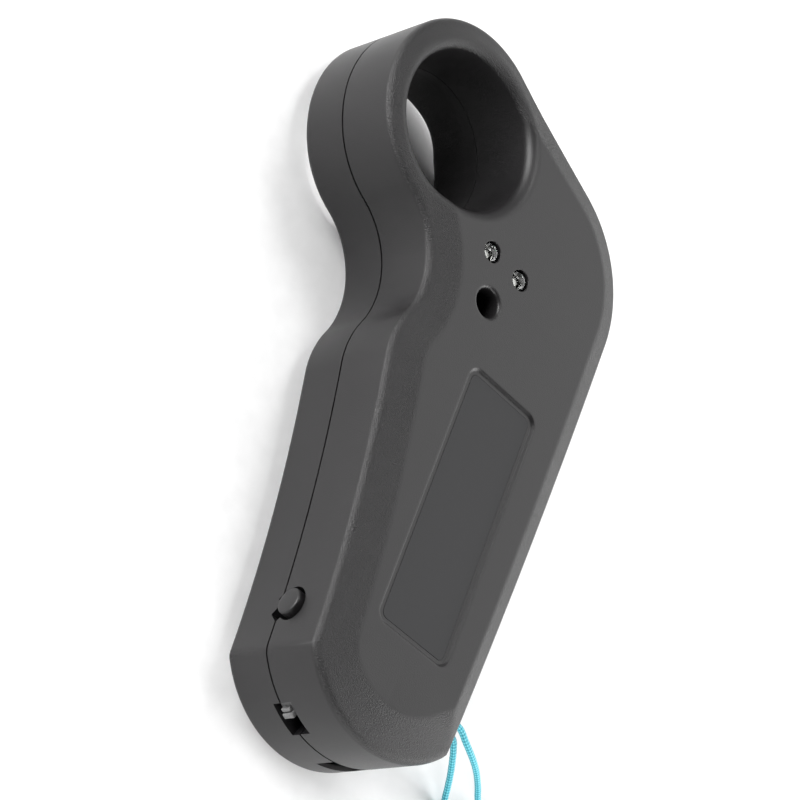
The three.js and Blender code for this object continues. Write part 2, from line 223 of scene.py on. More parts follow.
# Width of the sloped band along the long side: toe, back, shoulder, ring, notch, heel.
SIDE_SHARES = (0.0, 0.28, 0.40, 0.50, 0.62, 0.72, 1.0)
SIDE_WIDTHS = (2.8, 3.5, 4.0, 5.0, 5.4, 5.6, 5.9)
SIDE_EDGES = (0.6, 0.6, 0.7, 1.1, 1.3, 1.3, 1.3)
BUTT_WIDTH = 6.4
EDGE_ROUND = 1.3
CREASE = 0.35
MITRE = 0.35
BORE_ROUND = 1.9
REAR_BORE_ROUND = 2.4
BORE_DRAFT = 0.3
CORNER = 1.0
FINE_STEP = 0.55
MITRE_STEP = 0.4
EDGE_TURNS = (14, 24, 34, 45, 57, 70, 90)
HOLE_TURNS = (0, 15, 30, 45, 60, 75, 90, 100)
# Guide lines of the sloped band: part of its width, and creases past that.
BAND_LINES = ((1, -1), (1, 0), (1, 1), (1, 1.5), (0.4, 0), (0.7, 0))


def sloped(distance, slope, edge=EDGE_ROUND):
    """Height over the wall's top of a rounded edge that runs into a slope."""
    root = np.sqrt(1 + slope * slope)
    tangent = edge * (1 - slope / root)
    arched = edge ** 2 - (edge - np.minimum(distance, tangent)) ** 2
    rounded = edge * (slope - root) + np.sqrt(np.maximum(arched, 0))
    return np.where(distance < tangent, rounded, slope * distance)


def soft_lower(a, b, reach):
    """The lower of two heights, blended where they are close."""
    return np.minimum(a, b) - np.maximum(reach - np.abs(a - b), 0) ** 2 / (4 * reach)


def levelled(height, rise, softness):
    """A slope that turns into the flat face through a soft crease."""
    soft = rise - (rise + softness - height) ** 2 / (4 * softness)
    return np.where(height > rise + softness, rise, np.where(height < rise - softness, height, soft))


def hole_round(points, centre, radius, rounding):
    """How far a rounded hole's rim dips below the face."""
    away = np.linalg.norm(points - np.array(centre), axis=1)
    inner = np.clip(radius + rounding - away, 0, rounding)
    return rounding - np.sqrt(np.maximum(rounding ** 2 - inner ** 2, 0))


def circle(centre, radius, count):
    """Evenly spaced points round a circle."""
    return np.array([polar(centre, radius, 360 * i / count) for i in range(count)])


def rounded_rectangle(centre, width, height, corner, step=0.5):
    """The outline of a rectangle with rounded corners."""
    points = []
    corners = ((1, 1, 0), (-1, 1, 90), (-1, -1, 180), (1, -1, 270))
    for sx, sy, start in corners:
        middle = (centre[0] + sx * (width / 2 - corner), centre[1] + sy * (height / 2 - corner))
        points += arc(middle, corner, start, start + 90, 0.15) + [polar(middle, corner, start + 90)]
    points.append(points[0])
    return resampled(np.array(points), step)


def resampled(path, step):
    """A closed path with extra points on its straight stretches."""
    out = []
    for a, b in zip(path[:-1], path[1:]):
        count = max(1, math.ceil(math.dist(a, b) / step))
        out += [a + (b - a) * i / count for i in range(count)]
    return np.array(out)


def inset_in(points, centre, width, height, corner):
    """How far inside a rounded rectangle each point is; negative outside."""
    q = np.abs(points - np.array(centre)) - np.array((width, height)) / 2 + corner
    outside = np.linalg.norm(np.maximum(q, 0), axis=1)
    return corner - outside - np.minimum(q.max(axis=1), 0)


class HousingFace:
    """One half's face as a height over the plane, with the holes that open in it."""

    def __init__(self, rise, side_widths, butt_width, holes=(), label=None, bore_round=BORE_ROUND):
        self.rise = rise
        self.side_widths = side_widths
        self.butt_width = butt_width
        self.holes = [((0.0, 0.0), BORE_RADIUS, bore_round, None)] + list(holes)
        self.label = label

    def width(self, share):
        """Width of the sloped band at a share of the long side."""
        return np.interp(share, SIDE_SHARES, self.side_widths)

    def height(self, points):
        """Height in mm over the top of the side wall."""
        side_gap, share = distance_to(SIDE_PATH, points)
        butt_gap, _ = distance_to(BUTT_PATH, points)
        side_slope = self.rise / self.width(share)
        butt_slope = self.rise / self.butt_width
        height = soft_lower(sloped(side_gap, side_slope, np.interp(share, SIDE_SHARES, SIDE_EDGES)),
                            sloped(butt_gap, butt_slope), MITRE)
        height = levelled(height, self.rise, CREASE * side_slope)
        for centre, radius, rounding, _ in self.holes:
            height -= hole_round(points, centre, radius, rounding)
        if self.label:
            inside = inset_in(points, *self.label["shape"])
            height -= np.interp(inside, self.label["steps"], self.label["depths"])
        return height

    def banded(self, points):
        """1 on the sloped band and 0 on the flat face, for the coarser grain."""
        side_gap, share = distance_to(SIDE_PATH, points)
        butt_gap, _ = distance_to(BUTT_PATH, points)
        depth = np.minimum(side_gap / self.width(share), butt_gap / self.butt_width)
        return np.clip((1.05 - depth) / 0.1, 0, 1)

    def mitres(self):
        """The two lines on which the side's band meets the butt's."""
        lines = []
        heel, toe = (-1, 1, GRIP_CENTRE, GRIP_RADIUS), (0, -1, BACK_CENTRE, BACK_RADIUS)
        for place_on_side, sense, centre, radius in (heel, toe):
            width = self.side_widths[place_on_side]
            line = []
            for depth in np.arange(0.5, width + MITRE_STEP, MITRE_STEP):
                end = END_RADIUS - depth * self.butt_width / width
                side = radius + sense * depth
                if abs(math.dist(END_CENTRE, centre) - side) < end - 0.5:
                    line.append(crossing(END_CENTRE, end, centre, side))
            lines.append(np.array(line))
        return lines

    def loops(self):
        """Closed loops and open paths that the mesh's edges follow."""
        closed = [outline_loop(0, FINE_STEP, CORNER)]
        for turn in EDGE_TURNS:
            closed.append(outline_loop(EDGE_ROUND * (1 - math.cos(math.radians(turn))) + 0.02, FINE_STEP))
        opened = []
        side, butt = outline_sides(0, FINE_STEP)
        _, share = distance_to(SIDE_PATH, side)
        side_width, butt_width = self.width(share), np.full(len(butt), self.butt_width)
        for part, creases in BAND_LINES:
            opened.append(moved_in(side, side_width * part + creases * CREASE))
            opened.append(moved_in(butt, butt_width * part + creases * CREASE))
        opened += self.mitres()
        for centre, radius, rounding, _ in self.holes:
            count = 200 if radius > 10 else 56
            for turn in HOLE_TURNS:
                closed.append(circle(centre, radius + rounding * (1 - math.cos(math.radians(turn))), count))
        if self.label:
            centre, width, height, corner = self.label["shape"]
            for step in self.label["steps"]:
                closed.append(rounded_rectangle(centre, width - 2 * step, height - 2 * step,
                                                max(corner - step, 0.3)))
        return closed, opened


def moved_in(path, distance):
    """A path moved to its left by the given distances."""
    leg = np.gradient(path, axis=0)
    normal = np.stack([-leg[:, 1], leg[:, 0]], axis=1) / np.linalg.norm(leg, axis=1)[:, None]
    return path + normal * distance[:, None]


def inside_loop(loop, points):
    """Even-odd test of many points against one closed loop."""
    inside = np.zeros(len(points), bool)
    for a, b in zip(loop, np.roll(loop, -1, axis=0)):
        crosses = (a[1] > points[:, 1]) != (b[1] > points[:, 1])
        with np.errstate(divide="ignore", invalid="ignore"):
            x = a[0] + (points[:, 1] - a[1]) * (b[0] - a[0]) / (b[1] - a[1])
        inside ^= crosses & (points[:, 0] < x)
    return inside


def face_triangles(face):
    """The face's plan as points and triangles whose edges follow its loops."""
    closed, opened = face.loops()
    points, edges = [], []
    for path, ring in [(p, True) for p in closed] + [(p, False) for p in opened]:
        first = len(points)
        points += [Vector(p) for p in path]
        edges += [(first + i, first + i + 1) for i in range(len(path) - 1)]
        if ring:
            edges.append((first + len(path) - 1, first))
    made, _, triangles, *_ = delaunay_2d_cdt(points, edges, [], 0, 1e-4)
    flat = np.array([tuple(p) for p in made])
    triangles = np.array(triangles)
    middles = flat[triangles].mean(axis=1)
    keep = inside_loop(closed[0], middles)
    for centre, radius, _, _ in face.holes:
        keep &= np.linalg.norm(middles - np.array(centre), axis=1) > radius - 0.004
    return flat, triangles[keep]


# --- making meshes -------------------------------------------------------------------------------

def finish_mesh(bm, name, smooth_angle=30):
    """A new object from a bmesh, smooth apart from edges sharper than the angle."""
    mesh = bpy.data.meshes.new(name)
    bm.to_mesh(mesh)
    bm.free()
    mesh.polygons.foreach_set("use_smooth", [True] * len(mesh.polygons))
    mesh.set_sharp_from_angle(angle=math.radians(smooth_angle))
    obj = bpy.data.objects.new(name, mesh)
    bpy.context.scene.collection.objects.link(obj)
    return obj


def boundary_near(bm, test):
    """The open edges whose two ends pass a test."""
    return [e for e in bm.edges if e.is_boundary and all(test(v.co) for v in e.verts)]


def pull_down(bm, edges, level):
    """Extrudes boundary edges to a level in mm and returns the new edges."""
    made = bmesh.ops.extrude_edge_only(bm, edges=edges)["geom"]
    verts = [g for g in made if isinstance(g, bmesh.types.BMVert)]
    for v in verts:
        v.co.z = level * MM
    return [g for g in made if isinstance(g, bmesh.types.BMEdge) and all(v in set(verts) for v in g.verts)]


def housing_block(face, name, wall_top, base):
    """A solid block under a face: side wall, bore wall and blind holes, closed by a flat base."""
    flat, triangles = face_triangles(face)
    height = wall_top + face.height(flat)
    bm = bmesh.new()
    used = np.unique(triangles)
    verts = {int(k): bm.verts.new(place(flat[k][0], flat[k][1], height[k])) for k in used}
    for t in triangles:
        bm.faces.new([verts[int(k)] for k in t])
    rim = []
    for centre, radius, _, floor in face.holes:
        middle = place(*centre, 0).xy
        near = boundary_near(bm, lambda co: abs((co.xy - middle).length / MM - radius) < 0.05)
        if floor is None:
            foot = pull_down(bm, near, base)
            for v in {v for e in foot for v in e.verts}:
                v.co.xy = middle + (v.co.xy - middle) * (1 - BORE_DRAFT / radius)
            rim += foot
        else:
            bmesh.ops.contextual_create(bm, geom=pull_down(bm, near, floor))
    wall = [e for e in bm.edges if e.is_boundary and max(v.co.z for v in e.verts) > (base + 1) * MM]
    rim += pull_down(bm, wall, base)
    bmesh.ops.triangle_fill(bm, use_beauty=True, edges=rim)
    bmesh.ops.recalc_face_normals(bm, faces=bm.faces)
    return finish_mesh(bm, name)


def tool(bm, name="cutter"):
    """A plain object from a bmesh, for cutting or joining."""
    bmesh.ops.recalc_face_normals(bm, faces=bm.faces)
    mesh = bpy.data.meshes.new(name)
    bm.to_mesh(mesh)
    bm.free()
    obj = bpy.data.objects.new(name, mesh)
    bpy.context.scene.collection.objects.link(obj)
    return obj


def prism(bm, loop, low, high):
    """Adds a closed prism over a plan loop."""
    verts = [bm.verts.new(place(x, y, low)) for x, y in loop]
    base = bm.faces.new(verts)
    top = bmesh.ops.extrude_face_region(bm, geom=[base])["geom"]
    bmesh.ops.translate(bm, verts=[g for g in top if isinstance(g, bmesh.types.BMVert)],
                        vec=(0, 0, (high - low) * MM))


def column(bm, centre, radius, low, high, sides=40):
    """Adds an upright cylinder."""
    prism(bm, circle(centre, radius, sides), low, high)


def bar(bm, centre, size, turn=0.0):
    """Adds a box of the given size in mm, turned about Z by degrees."""
    matrix = Matrix.Translation(place(*centre)) @ Matrix.Rotation(math.radians(turn), 4, "Z")
    bmesh.ops.create_cube(bm, size=MM, matrix=matrix @ Matrix.Diagonal((*size, 1)))


def cutter(shape, *sizes):
    """A cutting object of one prism, column or bar."""
    bm = bmesh.new()
    shape(bm, *sizes)
    return tool(bm)


def carve(obj, other, operation="DIFFERENCE"):
    """Cuts an object with another, or joins them, and removes the other."""
    modifier = obj.modifiers.new("carve", "BOOLEAN")
    modifier.operation = operation
    modifier.solver = "EXACT"
    modifier.object = other
    graph = bpy.context.evaluated_depsgraph_get()
    mesh = bpy.data.meshes.new_from_object(obj.evaluated_get(graph))
    obj.modifiers.clear()
    obj.data = mesh
    bpy.data.objects.remove(other)
    return obj


# --- the housing -----------------------------------------------------------------------------------

WALL = 2.0
ROOF, FLOOR = 20.6, 2.2
RING_WALL = 2.3
HEAD_SEAT = 15.5
LABEL_CENTRE = (23.04, -54.5)
LABEL_OPEN = (15.0, 43.8, 2.0)
# The recess falls in a rounded slope to a ledge, and the label's pocket drops inside the ledge.
LABEL_STEPS = (-0.35, -0.12, 0.0, 0.12, 0.34, 0.44, 0.56, 0.93, 0.95)
LABEL_DEPTHS = (0.0, 0.0, 0.03, 0.14, 0.36, 0.39, 0.39, 0.39, 0.95)
LABEL_INSET = 0.965
LAMP_HOLE, LAMP_RIM = 1.68, 0.12
SCREW_HOLE, SCREW_RIM = 2.25, 0.6


def drawn(node):
    """A node's middle in drawing coordinates."""
    middle = node_centre(node)
    return (middle.x - RING_X) / MM, (middle.y - RING_Y) / MM, middle.z / MM


def screw_places():
    """The plan places of the three screws."""
    return [drawn(n)[:2] for n in ("screw_upper", "screw_middle", "screw_lower")]


def lamp_places():
    """The plan places of the two lamps."""
    return [drawn(n)[:2] for n in ("lamp_power", "lamp_link")]


SWITCH_BEARING, SWITCH_LENGTH, SWITCH_LOW, SWITCH_HIGH = 248.0, 5.5, 9.9, 13.5
SOCKET_BEARING, SOCKET_LENGTH, SOCKET_LOW, SOCKET_HIGH = 292.5, 8.0, 8.2, 11.3


# Through openings: the wheel's slot, the cord's hole and the button's round hole.
WHEEL_SLOT_RADIUS, WHEEL_SLOT_LOW, WHEEL_SLOT_HIGH = 10.8, 6.8, 16.0
CORD_HOLE, CORD_HOLE_REACH = (9, 4.4, 3.4), 3.1
BUTTON_HOLE = 2.6
# The clearance cut at each side of the button where the halves meet: place past the hole and half size.
BUTTON_NOTCH_LOW, BUTTON_NOTCH_HIGH = (-0.3, 1.4), (0.0, 0.8)
SLOT_DEPTH = 8
SOCKET_ROOM_BELOW = 0.5
# The socket's opening is undercut, so that only a thin edge shows round it.
UNDERCUT_DEPTH, UNDERCUT_MIDDLE, UNDERCUT_THICK, UNDERCUT_HIGH = 2.4, 8.3, 3.4, 6.0


def sideways(bm, centre, radius, length, sides):
    """Adds a cylinder that lies along X."""
    matrix = Matrix.Translation(place(*centre)) @ Matrix.Rotation(math.pi / 2, 4, "Y")
    bmesh.ops.create_cone(bm, cap_ends=True, segments=sides, radius1=radius * MM, radius2=radius * MM,
                          depth=length * MM, matrix=matrix)


def control_openings():
    """Everything that both halves leave open for the controls, the socket and the cord."""
    wheel, pin = drawn("throttle_wheel")[:2], drawn("lanyard_pin")[:2]
    tools = [cutter(column, wheel, WHEEL_SLOT_RADIUS, WHEEL_SLOT_LOW, WHEEL_SLOT_HIGH, 96)]
    bm = bmesh.new()
    for angle, length, low, high in (
        (SWITCH_BEARING, SWITCH_LENGTH, SWITCH_LOW, SWITCH_HIGH),
        (SOCKET_BEARING, SOCKET_LENGTH, SOCKET_LOW - SOCKET_ROOM_BELOW, SOCKET_HIGH),
    ):
        at = polar(END_CENTRE, END_RADIUS - WALL, angle)
        bar(bm, (*at, (low + high) / 2), (length, SLOT_DEPTH, high - low), angle + 90)
    bar(bm, (pin[0] + CORD_HOLE_REACH, pin[1], SEAM), CORD_HOLE)
    tools.append(tool(bm))
    at = end_point(UNDERCUT_DEPTH, SOCKET_BEARING)
    tools.append(cutter(bar, (*at, UNDERCUT_MIDDLE), (SOCKET_LENGTH - 0.6, UNDERCUT_THICK, UNDERCUT_HIGH),
                        SOCKET_BEARING + 90))
    x, y, z = drawn("pairing_button")
    tools.append(cutter(sideways, (x, y, z), BUTTON_HOLE, 10, 64))
    reach = math.sqrt(BUTTON_HOLE ** 2 - (z - SEAM) ** 2)
    bm = bmesh.new()
    for side, (past, size) in ((-reach, BUTTON_NOTCH_LOW), (reach, BUTTON_NOTCH_HIGH)):
        sideways(bm, (x, y + side + past, SEAM), size, 6, 4)
    tools.append(tool(bm))
    return tools


def hollow(low, high, posts):
    """The room inside a half, less the bore's wall and its posts."""
    room = cutter(prism, outline_loop(WALL, 1.2), low, high)
    carve(room, cutter(column, (0, 0), BORE_RADIUS + RING_WALL, low - 1, high + 1, 120))
    for post in posts:
        carve(room, cutter(column, *post))
    return room


def bored(obj, holes):
    """Bores round holes, each given as centre, radius, low and high."""
    for hole in holes:
        carve(obj, cutter(column, *hole))


FRONT_RISE, REAR_RISE, REAR_WIDTH = 1.4, 3.2, 5.2


def make_front():
    """The front half: face, label recess, lamp and screw holes, posts and room."""
    holes = [(at, LAMP_HOLE, LAMP_RIM, 19.0) for at in lamp_places()]
    holes.append((screw_places()[0], SCREW_HOLE, SCREW_RIM, HEAD_SEAT))
    label = {"shape": (LABEL_CENTRE, *LABEL_OPEN), "steps": LABEL_STEPS, "depths": LABEL_DEPTHS}
    face = HousingFace(FRONT_RISE, SIDE_WIDTHS, BUTT_WIDTH, holes, label)
    base = SEAM + SEAM_GAP / 2
    front = housing_block(face, "housing_front", THICKNESS - FRONT_RISE, base)
    axle, pin = drawn("wheel_axle")[:2], drawn("lanyard_pin")[:2]
    posts = [(at, 3.4, 14.3, ROOF + 1) for at in screw_places()]
    posts += [(axle, 3.0, 18.0, ROOF + 1), (pin, 2.0, 17.0, ROOF + 1)]
    carve(front, hollow(base - 1, ROOF, posts))
    bored(front, [(at, 1.4, 13, 17) for at in screw_places()])
    bored(front, [(at, 2.6, HEAD_SEAT, 25) for at in screw_places()[1:]])
    bored(front, [(axle, 1.8, 15, ROOF - 0.1), (pin, 1.3, 15, ROOF - 0.1)])
    for opening in control_openings():
        carve(front, opening)
    mark_band(front, face, SEAM)
    return front


def make_rear():
    """The rear half: drawn like a front and turned over, with posts and the lip inside the seam."""
    face = HousingFace(REAR_RISE, (REAR_WIDTH,) * len(SIDE_SHARES), REAR_WIDTH, bore_round=REAR_BORE_ROUND)
    base = SEAM + SEAM_GAP / 2
    rear = housing_block(face, "housing_rear", THICKNESS - REAR_RISE, base)
    flip = Matrix.Translation((0, 0, THICKNESS * MM)) @ Matrix.Diagonal((1, 1, -1, 1))
    rear.data.transform(flip)
    rear.data.flip_normals()
    axle, pin = drawn("wheel_axle")[:2], drawn("lanyard_pin")[:2]
    posts = [(at, 3.2, FLOOR - 1, 30) for at in screw_places()]
    posts += [(axle, 3.0, FLOOR - 1, 4.2), (pin, 2.0, FLOOR - 1, 5.5)]
    carve(rear, hollow(FLOOR, 30, posts))
    carve(rear, seam_lip(), "UNION")
    bored(rear, [(at, 1.35, FLOOR, 15) for at in screw_places()])
    bored(rear, [(axle, 1.8, FLOOR, 6), (pin, 1.3, FLOOR, 6)])
    for opening in control_openings():
        carve(rear, opening)
    mark_band(rear, face, SEAM)
    return rear


def seam_lip():
    """The rib inside the seam that keeps the halves in line and closes the gap to the eye."""
    top = SEAM - SEAM_GAP / 2
    lip = cutter(prism, outline_loop(WALL - 0.3, 1.2), 8.6, top)
    carve(lip, cutter(prism, outline_loop(WALL + 0.3, 1.2), 8.8, top + 1.35), "UNION")
    carve(lip, cutter(prism, outline_loop(WALL + 1.2, 1.2), 8, 14))
    carve(lip, cutter(column, (0, 0), BORE_RADIUS + RING_WALL + 0.4, 7, 15, 96))
    ring = cutter(column, (0, 0), BORE_RADIUS + 1.6, 9, SEAM + SEAM_GAP / 2 - 0.03, 160)
    carve(ring, cutter(column, (0, 0), BORE_RADIUS - BORE_DRAFT + 0.06, 8, 15, 160))
    carve(lip, ring, "UNION")
    return lip


def mark_band(obj, face, middle):
    """Stores where the sloped band lies, for the moulding grain."""
    mesh = obj.data
    co = np.array([tuple(v.co) for v in mesh.vertices]) / MM
    plan = np.stack([co[:, 0] - RING_X / MM, co[:, 1] - RING_Y / MM], axis=1)
    high = np.abs(co[:, 2] - middle) > SEAM - face.rise - 0.5
    value = np.where(high, face.banded(plan), 0.0)
    mesh.attributes.new("band", "FLOAT", "POINT").data.foreach_set("value", value.astype(np.float32))


# --- turned, extruded and moulded pieces -----------------------------------------------------------

def turned(bm, profile, centre, sides=48, axis=(0, 0, 1), across=(1, 0, 0)):
    """Spins a profile of (radius, height) points in mm about an axis through the centre."""
    axis, across, centre = Vector(axis).normalized(), Vector(across).normalized(), Vector(centre)
    verts = [bm.verts.new(centre + across * r * MM + axis * h * MM) for r, h in profile]
    edges = [bm.edges.new(pair) for pair in zip(verts[:-1], verts[1:])]
    bmesh.ops.spin(bm, geom=verts + edges, cent=centre, axis=axis, angle=2 * math.pi,
                   steps=sides, use_merge=True)
    bmesh.ops.remove_doubles(bm, verts=bm.verts, dist=1e-6)
    bmesh.ops.recalc_face_normals(bm, faces=bm.faces)


def rounded_corner(profile, index, radius, steps=4):
    """A profile with one of its corners rounded."""
    before, tip, after = (np.array(profile[i], float) for i in (index - 1, index, index + 1))
    a = tip + (before - tip) / np.linalg.norm(before - tip) * radius
    b = tip + (after - tip) / np.linalg.norm(after - tip) * radius
    corner = [tuple(p) for p in bend(a, tip, b, steps)]
    return list(profile[:index]) + corner + list(profile[index + 1:])


def bevel_sharp(bm, width, segments=3, angle=40):
    """Rounds every edge that turns more than the angle."""
    edges = [e for e in bm.edges if len(e.link_faces) == 2 and e.calc_face_angle(0) > math.radians(angle)]
    bmesh.ops.bevel(bm, geom=edges, offset=width * MM, affect="EDGES", segments=segments,
                    profile=0.5, material=-1, clamp_overlap=True)


def end_point(depth, degrees):
    """A plan point at a depth under the butt's wall."""
    return polar(END_CENTRE, END_RADIUS - depth, degrees)


def make_label():
    """The film plate that lies in the recess, with a softly rounded edge."""
    low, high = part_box("label_plate")
    width, length = LABEL_OPEN[0] - 2 * LABEL_INSET, LABEL_OPEN[1] - 2 * LABEL_INSET
    bm = bmesh.new()
    outline = rounded_rectangle(LABEL_CENTRE, width, length, LABEL_OPEN[2] - LABEL_INSET)
    prism(bm, outline, low.z / MM, high.z / MM)
    bmesh.ops.recalc_face_normals(bm, faces=bm.faces)
    top = [e for e in bm.edges if all(v.co.z > high.z - 1e-6 for v in e.verts)]
    bmesh.ops.bevel(bm, geom=top, offset=0.05 * MM, affect="EDGES", segments=2, profile=0.5, material=-1)
    return finish_mesh(bm, "label_film", 12)


LAMP_RADIUS, LAMP_DOME, LAMP_PROUD = 1.6, 1.1, 0.25
COLLAR_RADIUS, COLLAR_DEPTH = 1.9, 6.6


def make_lamp(name, node):
    """A clear lamp: collar and domed barrel cast in one, round a reflector cup."""
    x, y, _ = drawn(node)
    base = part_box(node)[0].z / MM
    collar, tip = THICKNESS - COLLAR_DEPTH, THICKNESS + LAMP_PROUD
    profile = [(0, collar), (COLLAR_RADIUS, collar), (COLLAR_RADIUS, collar + 1), (LAMP_RADIUS, collar + 1)]
    for degrees in range(0, 90, 9):
        across, up = polar((0, 0), 1, degrees)
        profile.append((LAMP_RADIUS * across, tip - LAMP_DOME + LAMP_DOME * up))
    profile.append((0, tip))
    bm = bmesh.new()
    turned(bm, profile, place(x, y, 0), 48)
    lens = finish_mesh(bm, name + "_lens")
    cup = [(0, collar + 1.2), (0.75, collar + 1.2), (0.95, collar + 2.5), (0.85, collar + 2.5),
           (0.42, collar + 1.9), (0, collar + 1.8)]
    bm = bmesh.new()
    turned(bm, cup, place(x, y, 0), 32)
    reflector = finish_mesh(bm, name + "_cup")
    bm = bmesh.new()
    for side in (-0.6, 0.6):
        bar(bm, (x + side, y, (base + collar) / 2 - 0.05), (0.5, 0.5, collar - base - 0.1))
    bevel_sharp(bm, 0.06, 2)
    return lens, reflector, finish_mesh(bm, name + "_legs")


def make_screw(name, node):
    """A black pan-head screw with a cross recess."""
    x, y, _ = drawn(node)
    head = [(1.0, HEAD_SEAT + 0.3), (2.1, HEAD_SEAT + 0.3), (2.1, HEAD_SEAT + 0.95)]
    crown = [(2.0, HEAD_SEAT + 1.2), (1.7, HEAD_SEAT + 1.5), (1.2, HEAD_SEAT + 1.7), (0, HEAD_SEAT + 1.8)]
    shank = [(0, 6), (0.55, 6.3)]
    for turn in range(12):
        z = 6.8 + turn * 0.68
        shank += [(0.82, z), (1.0, z + 0.3), (0.82, z + 0.42)]
    bm = bmesh.new()
    turned(bm, shank + head + crown, place(x, y, 0), 48)
    screw = finish_mesh(bm, name, 35)
    for slot in ((0.6, 2.6, 1.2), (2.6, 0.6, 1.2)):
        carve(screw, cutter(bar, (x, y, HEAD_SEAT + 1.8), slot, 20))
    return screw


def make_button():
    """The pairing button: a moulded cap with a rounded rim and a stem to its switch."""
    low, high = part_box("pairing_button")
    _, y, z = drawn("pairing_button")
    face = (low.x - RING_X) / MM
    end = (high.x - RING_X) / MM
    profile = [(0, 0.0), (1.2, 0.04), (2.1, 0.16), (2.1, 3.6), (1.0, 3.6), (1.0, end - face), (0, end - face)]
    profile = rounded_corner(profile, 2, 0.35, 6)
    bm = bmesh.new()
    turned(bm, profile, place(face, y, z), 64, axis=(1, 0, 0), across=(0, 1, 0))
    return finish_mesh(bm, "button_cap", 35)


KNOB_REST = -1.35


def make_knob():
    """The power switch's two-step knob."""
    middle = (SWITCH_LOW + SWITCH_HIGH) / 2
    turn = SWITCH_BEARING + 90
    base, small, large = (2, 0, 2.2, 2.4, 2.4), (0.8, -0.2, 0.6, 1.4, 1.7), (0.7, 0.7, 0.85, 1.6, 2.0)
    bm = bmesh.new()
    for depth, shift, length, thick, high in (base, small, large):
        x, y = polar(end_point(depth, SWITCH_BEARING), KNOB_REST + shift, turn)
        bar(bm, (x, y, middle), (length, thick, high), turn)
    bevel_sharp(bm, 0.14, 3)
    return finish_mesh(bm, "switch_slider")


def make_socket():
    """The charging socket: a drawn steel shell round a tongue, set back in its opening."""
    middle = (SOCKET_LOW + SOCKET_HIGH) / 2
    turn = SOCKET_BEARING + 90
    bm = bmesh.new()
    bar(bm, (*end_point(4.7, SOCKET_BEARING), middle), (7.4, 5, 2.5), turn)
    deep = [e for e in bm.edges if 4.9 * MM < e.calc_length() < 5.1 * MM]
    bmesh.ops.bevel(bm, geom=deep, offset=0.9 * MM, affect="EDGES", segments=4, profile=0.5, material=-1)
    socket = tool(bm)
    carve(socket, cutter(bar, (*end_point(3.9, SOCKET_BEARING), middle), (6.7, 5, 1.8), turn))
    bm = bmesh.new()
    bar(bm, (*end_point(4.6, SOCKET_BEARING), middle), (4, 4.2, 0.6), turn)
    bevel_sharp(bm, 0.1, 2)
    carve(socket, tool(bm), "UNION")
    bm = bmesh.new()
    bm.from_mesh(socket.data)
    bpy.data.objects.remove(socket)
    return finish_mesh(bm, "charging_socket")


def make_wheel():
    """The thumb wheel: ribbed rim, chamfered both sides, dished faces and a bore."""
    x, y, _ = drawn("throttle_wheel")
    low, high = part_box("throttle_wheel")
    radius = (high.x - low.x) / 2 / MM
    low, high = low.z / MM, high.z / MM
    ribs, steps = 22, 8
    rim = []
    for i in range(ribs * steps):
        a = 360 * i / (ribs * steps)
        wave = math.cos(math.radians(ribs * a))
        rim.append(polar((x, y), radius - 0.35 + 0.35 * math.copysign(abs(wave) ** 0.6, wave), a))
    bm = bmesh.new()
    prism(bm, rim, low, high)
    bmesh.ops.recalc_face_normals(bm, faces=bm.faces)
    caps = [f for f in bm.faces if abs(f.normal.z) > 0.9]
    edges = list({e for f in caps for e in f.edges})
    bmesh.ops.bevel(bm, geom=edges, offset=0.45 * MM, affect="EDGES", segments=3, profile=0.5, material=-1)
    wheel = finish_mesh(bm, "thumb_wheel", 40)
    for floor, roof in ((low - 1, low + 0.5), (high - 0.5, high + 1)):
        bm = bmesh.new()
        column(bm, (x, y), 7.8, floor, roof, 96)
        column(bm, (x, y), 3.0, floor - 1, roof + 1, 48)
        carve(wheel, tool(bm))
    carve(wheel, cutter(column, (x, y), 1.8, low - 1, high + 1, 48))
    carve(wheel, cutter(column, drawn("wheel_magnet")[:2], 1.8, low - 1, low + 2.4))
    return wheel


def make_rod(name, node):
    """A ground steel rod with chamfered ends."""
    x, y, _ = drawn(node)
    low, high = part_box(node)
    r = (high.x - low.x) / 2 / MM
    low, high = low.z / MM, high.z / MM
    bm = bmesh.new()
    turned(bm, [(0, low), (r - 0.25, low), (r, low + 0.25), (r, high - 0.25), (r - 0.25, high), (0, high)],
           place(x, y, 0), 48)
    return finish_mesh(bm, name)


# --- the wrist cord ----------------------------------------------------------------------------------

LEAD_OUT = (
    (33.2, -76.45, 11.9), (34.9, -76.7, 12.0), (37.6, -77.0, 12.1), (41.5, -76.3, 12.2), (45.4, -75.9, 11.9),
    (48.2, -76.7, 11.1), (51.7, -77.3, 9.6), (55, -77.6, 7.6), (58.5, -78.1, 5), (61, -78.6, 3),
    (64, -78.9, 1.3), (67, -79.1, 0.6), (69.6, -79.9, 0.55), (71.3, -81.3, 0.55), (72.3, -82.8, 0.55),
)
LEAD_BACK = (
    (33.2, -79.55, 10.8), (34.9, -79.3, 10.8), (37.6, -78.8, 10.8), (41.5, -77.8, 10.9), (44.5, -77.1, 10.6),
    (46.7, -77, 9.9), (48.2, -77.6, 8.9), (50.1, -78.4, 7.3), (52.4, -79.3, 5.2), (54.6, -80.3, 3),
    (56.1, -81.3, 1.5), (57.4, -83.2, 0.6), (58.2, -85.5, 0.6), (59, -87.8, 0.9), (59.8, -89.7, 1.2),
)
COIL_TURNS, COIL_INNER, COIL_OUTER = 5.5, 4.45, 7.2
COIL_LOW, COIL_HIGH, COIL_ENTRY = 0.56, 1.58, 29.4
STEPS_PER_TURN = 30


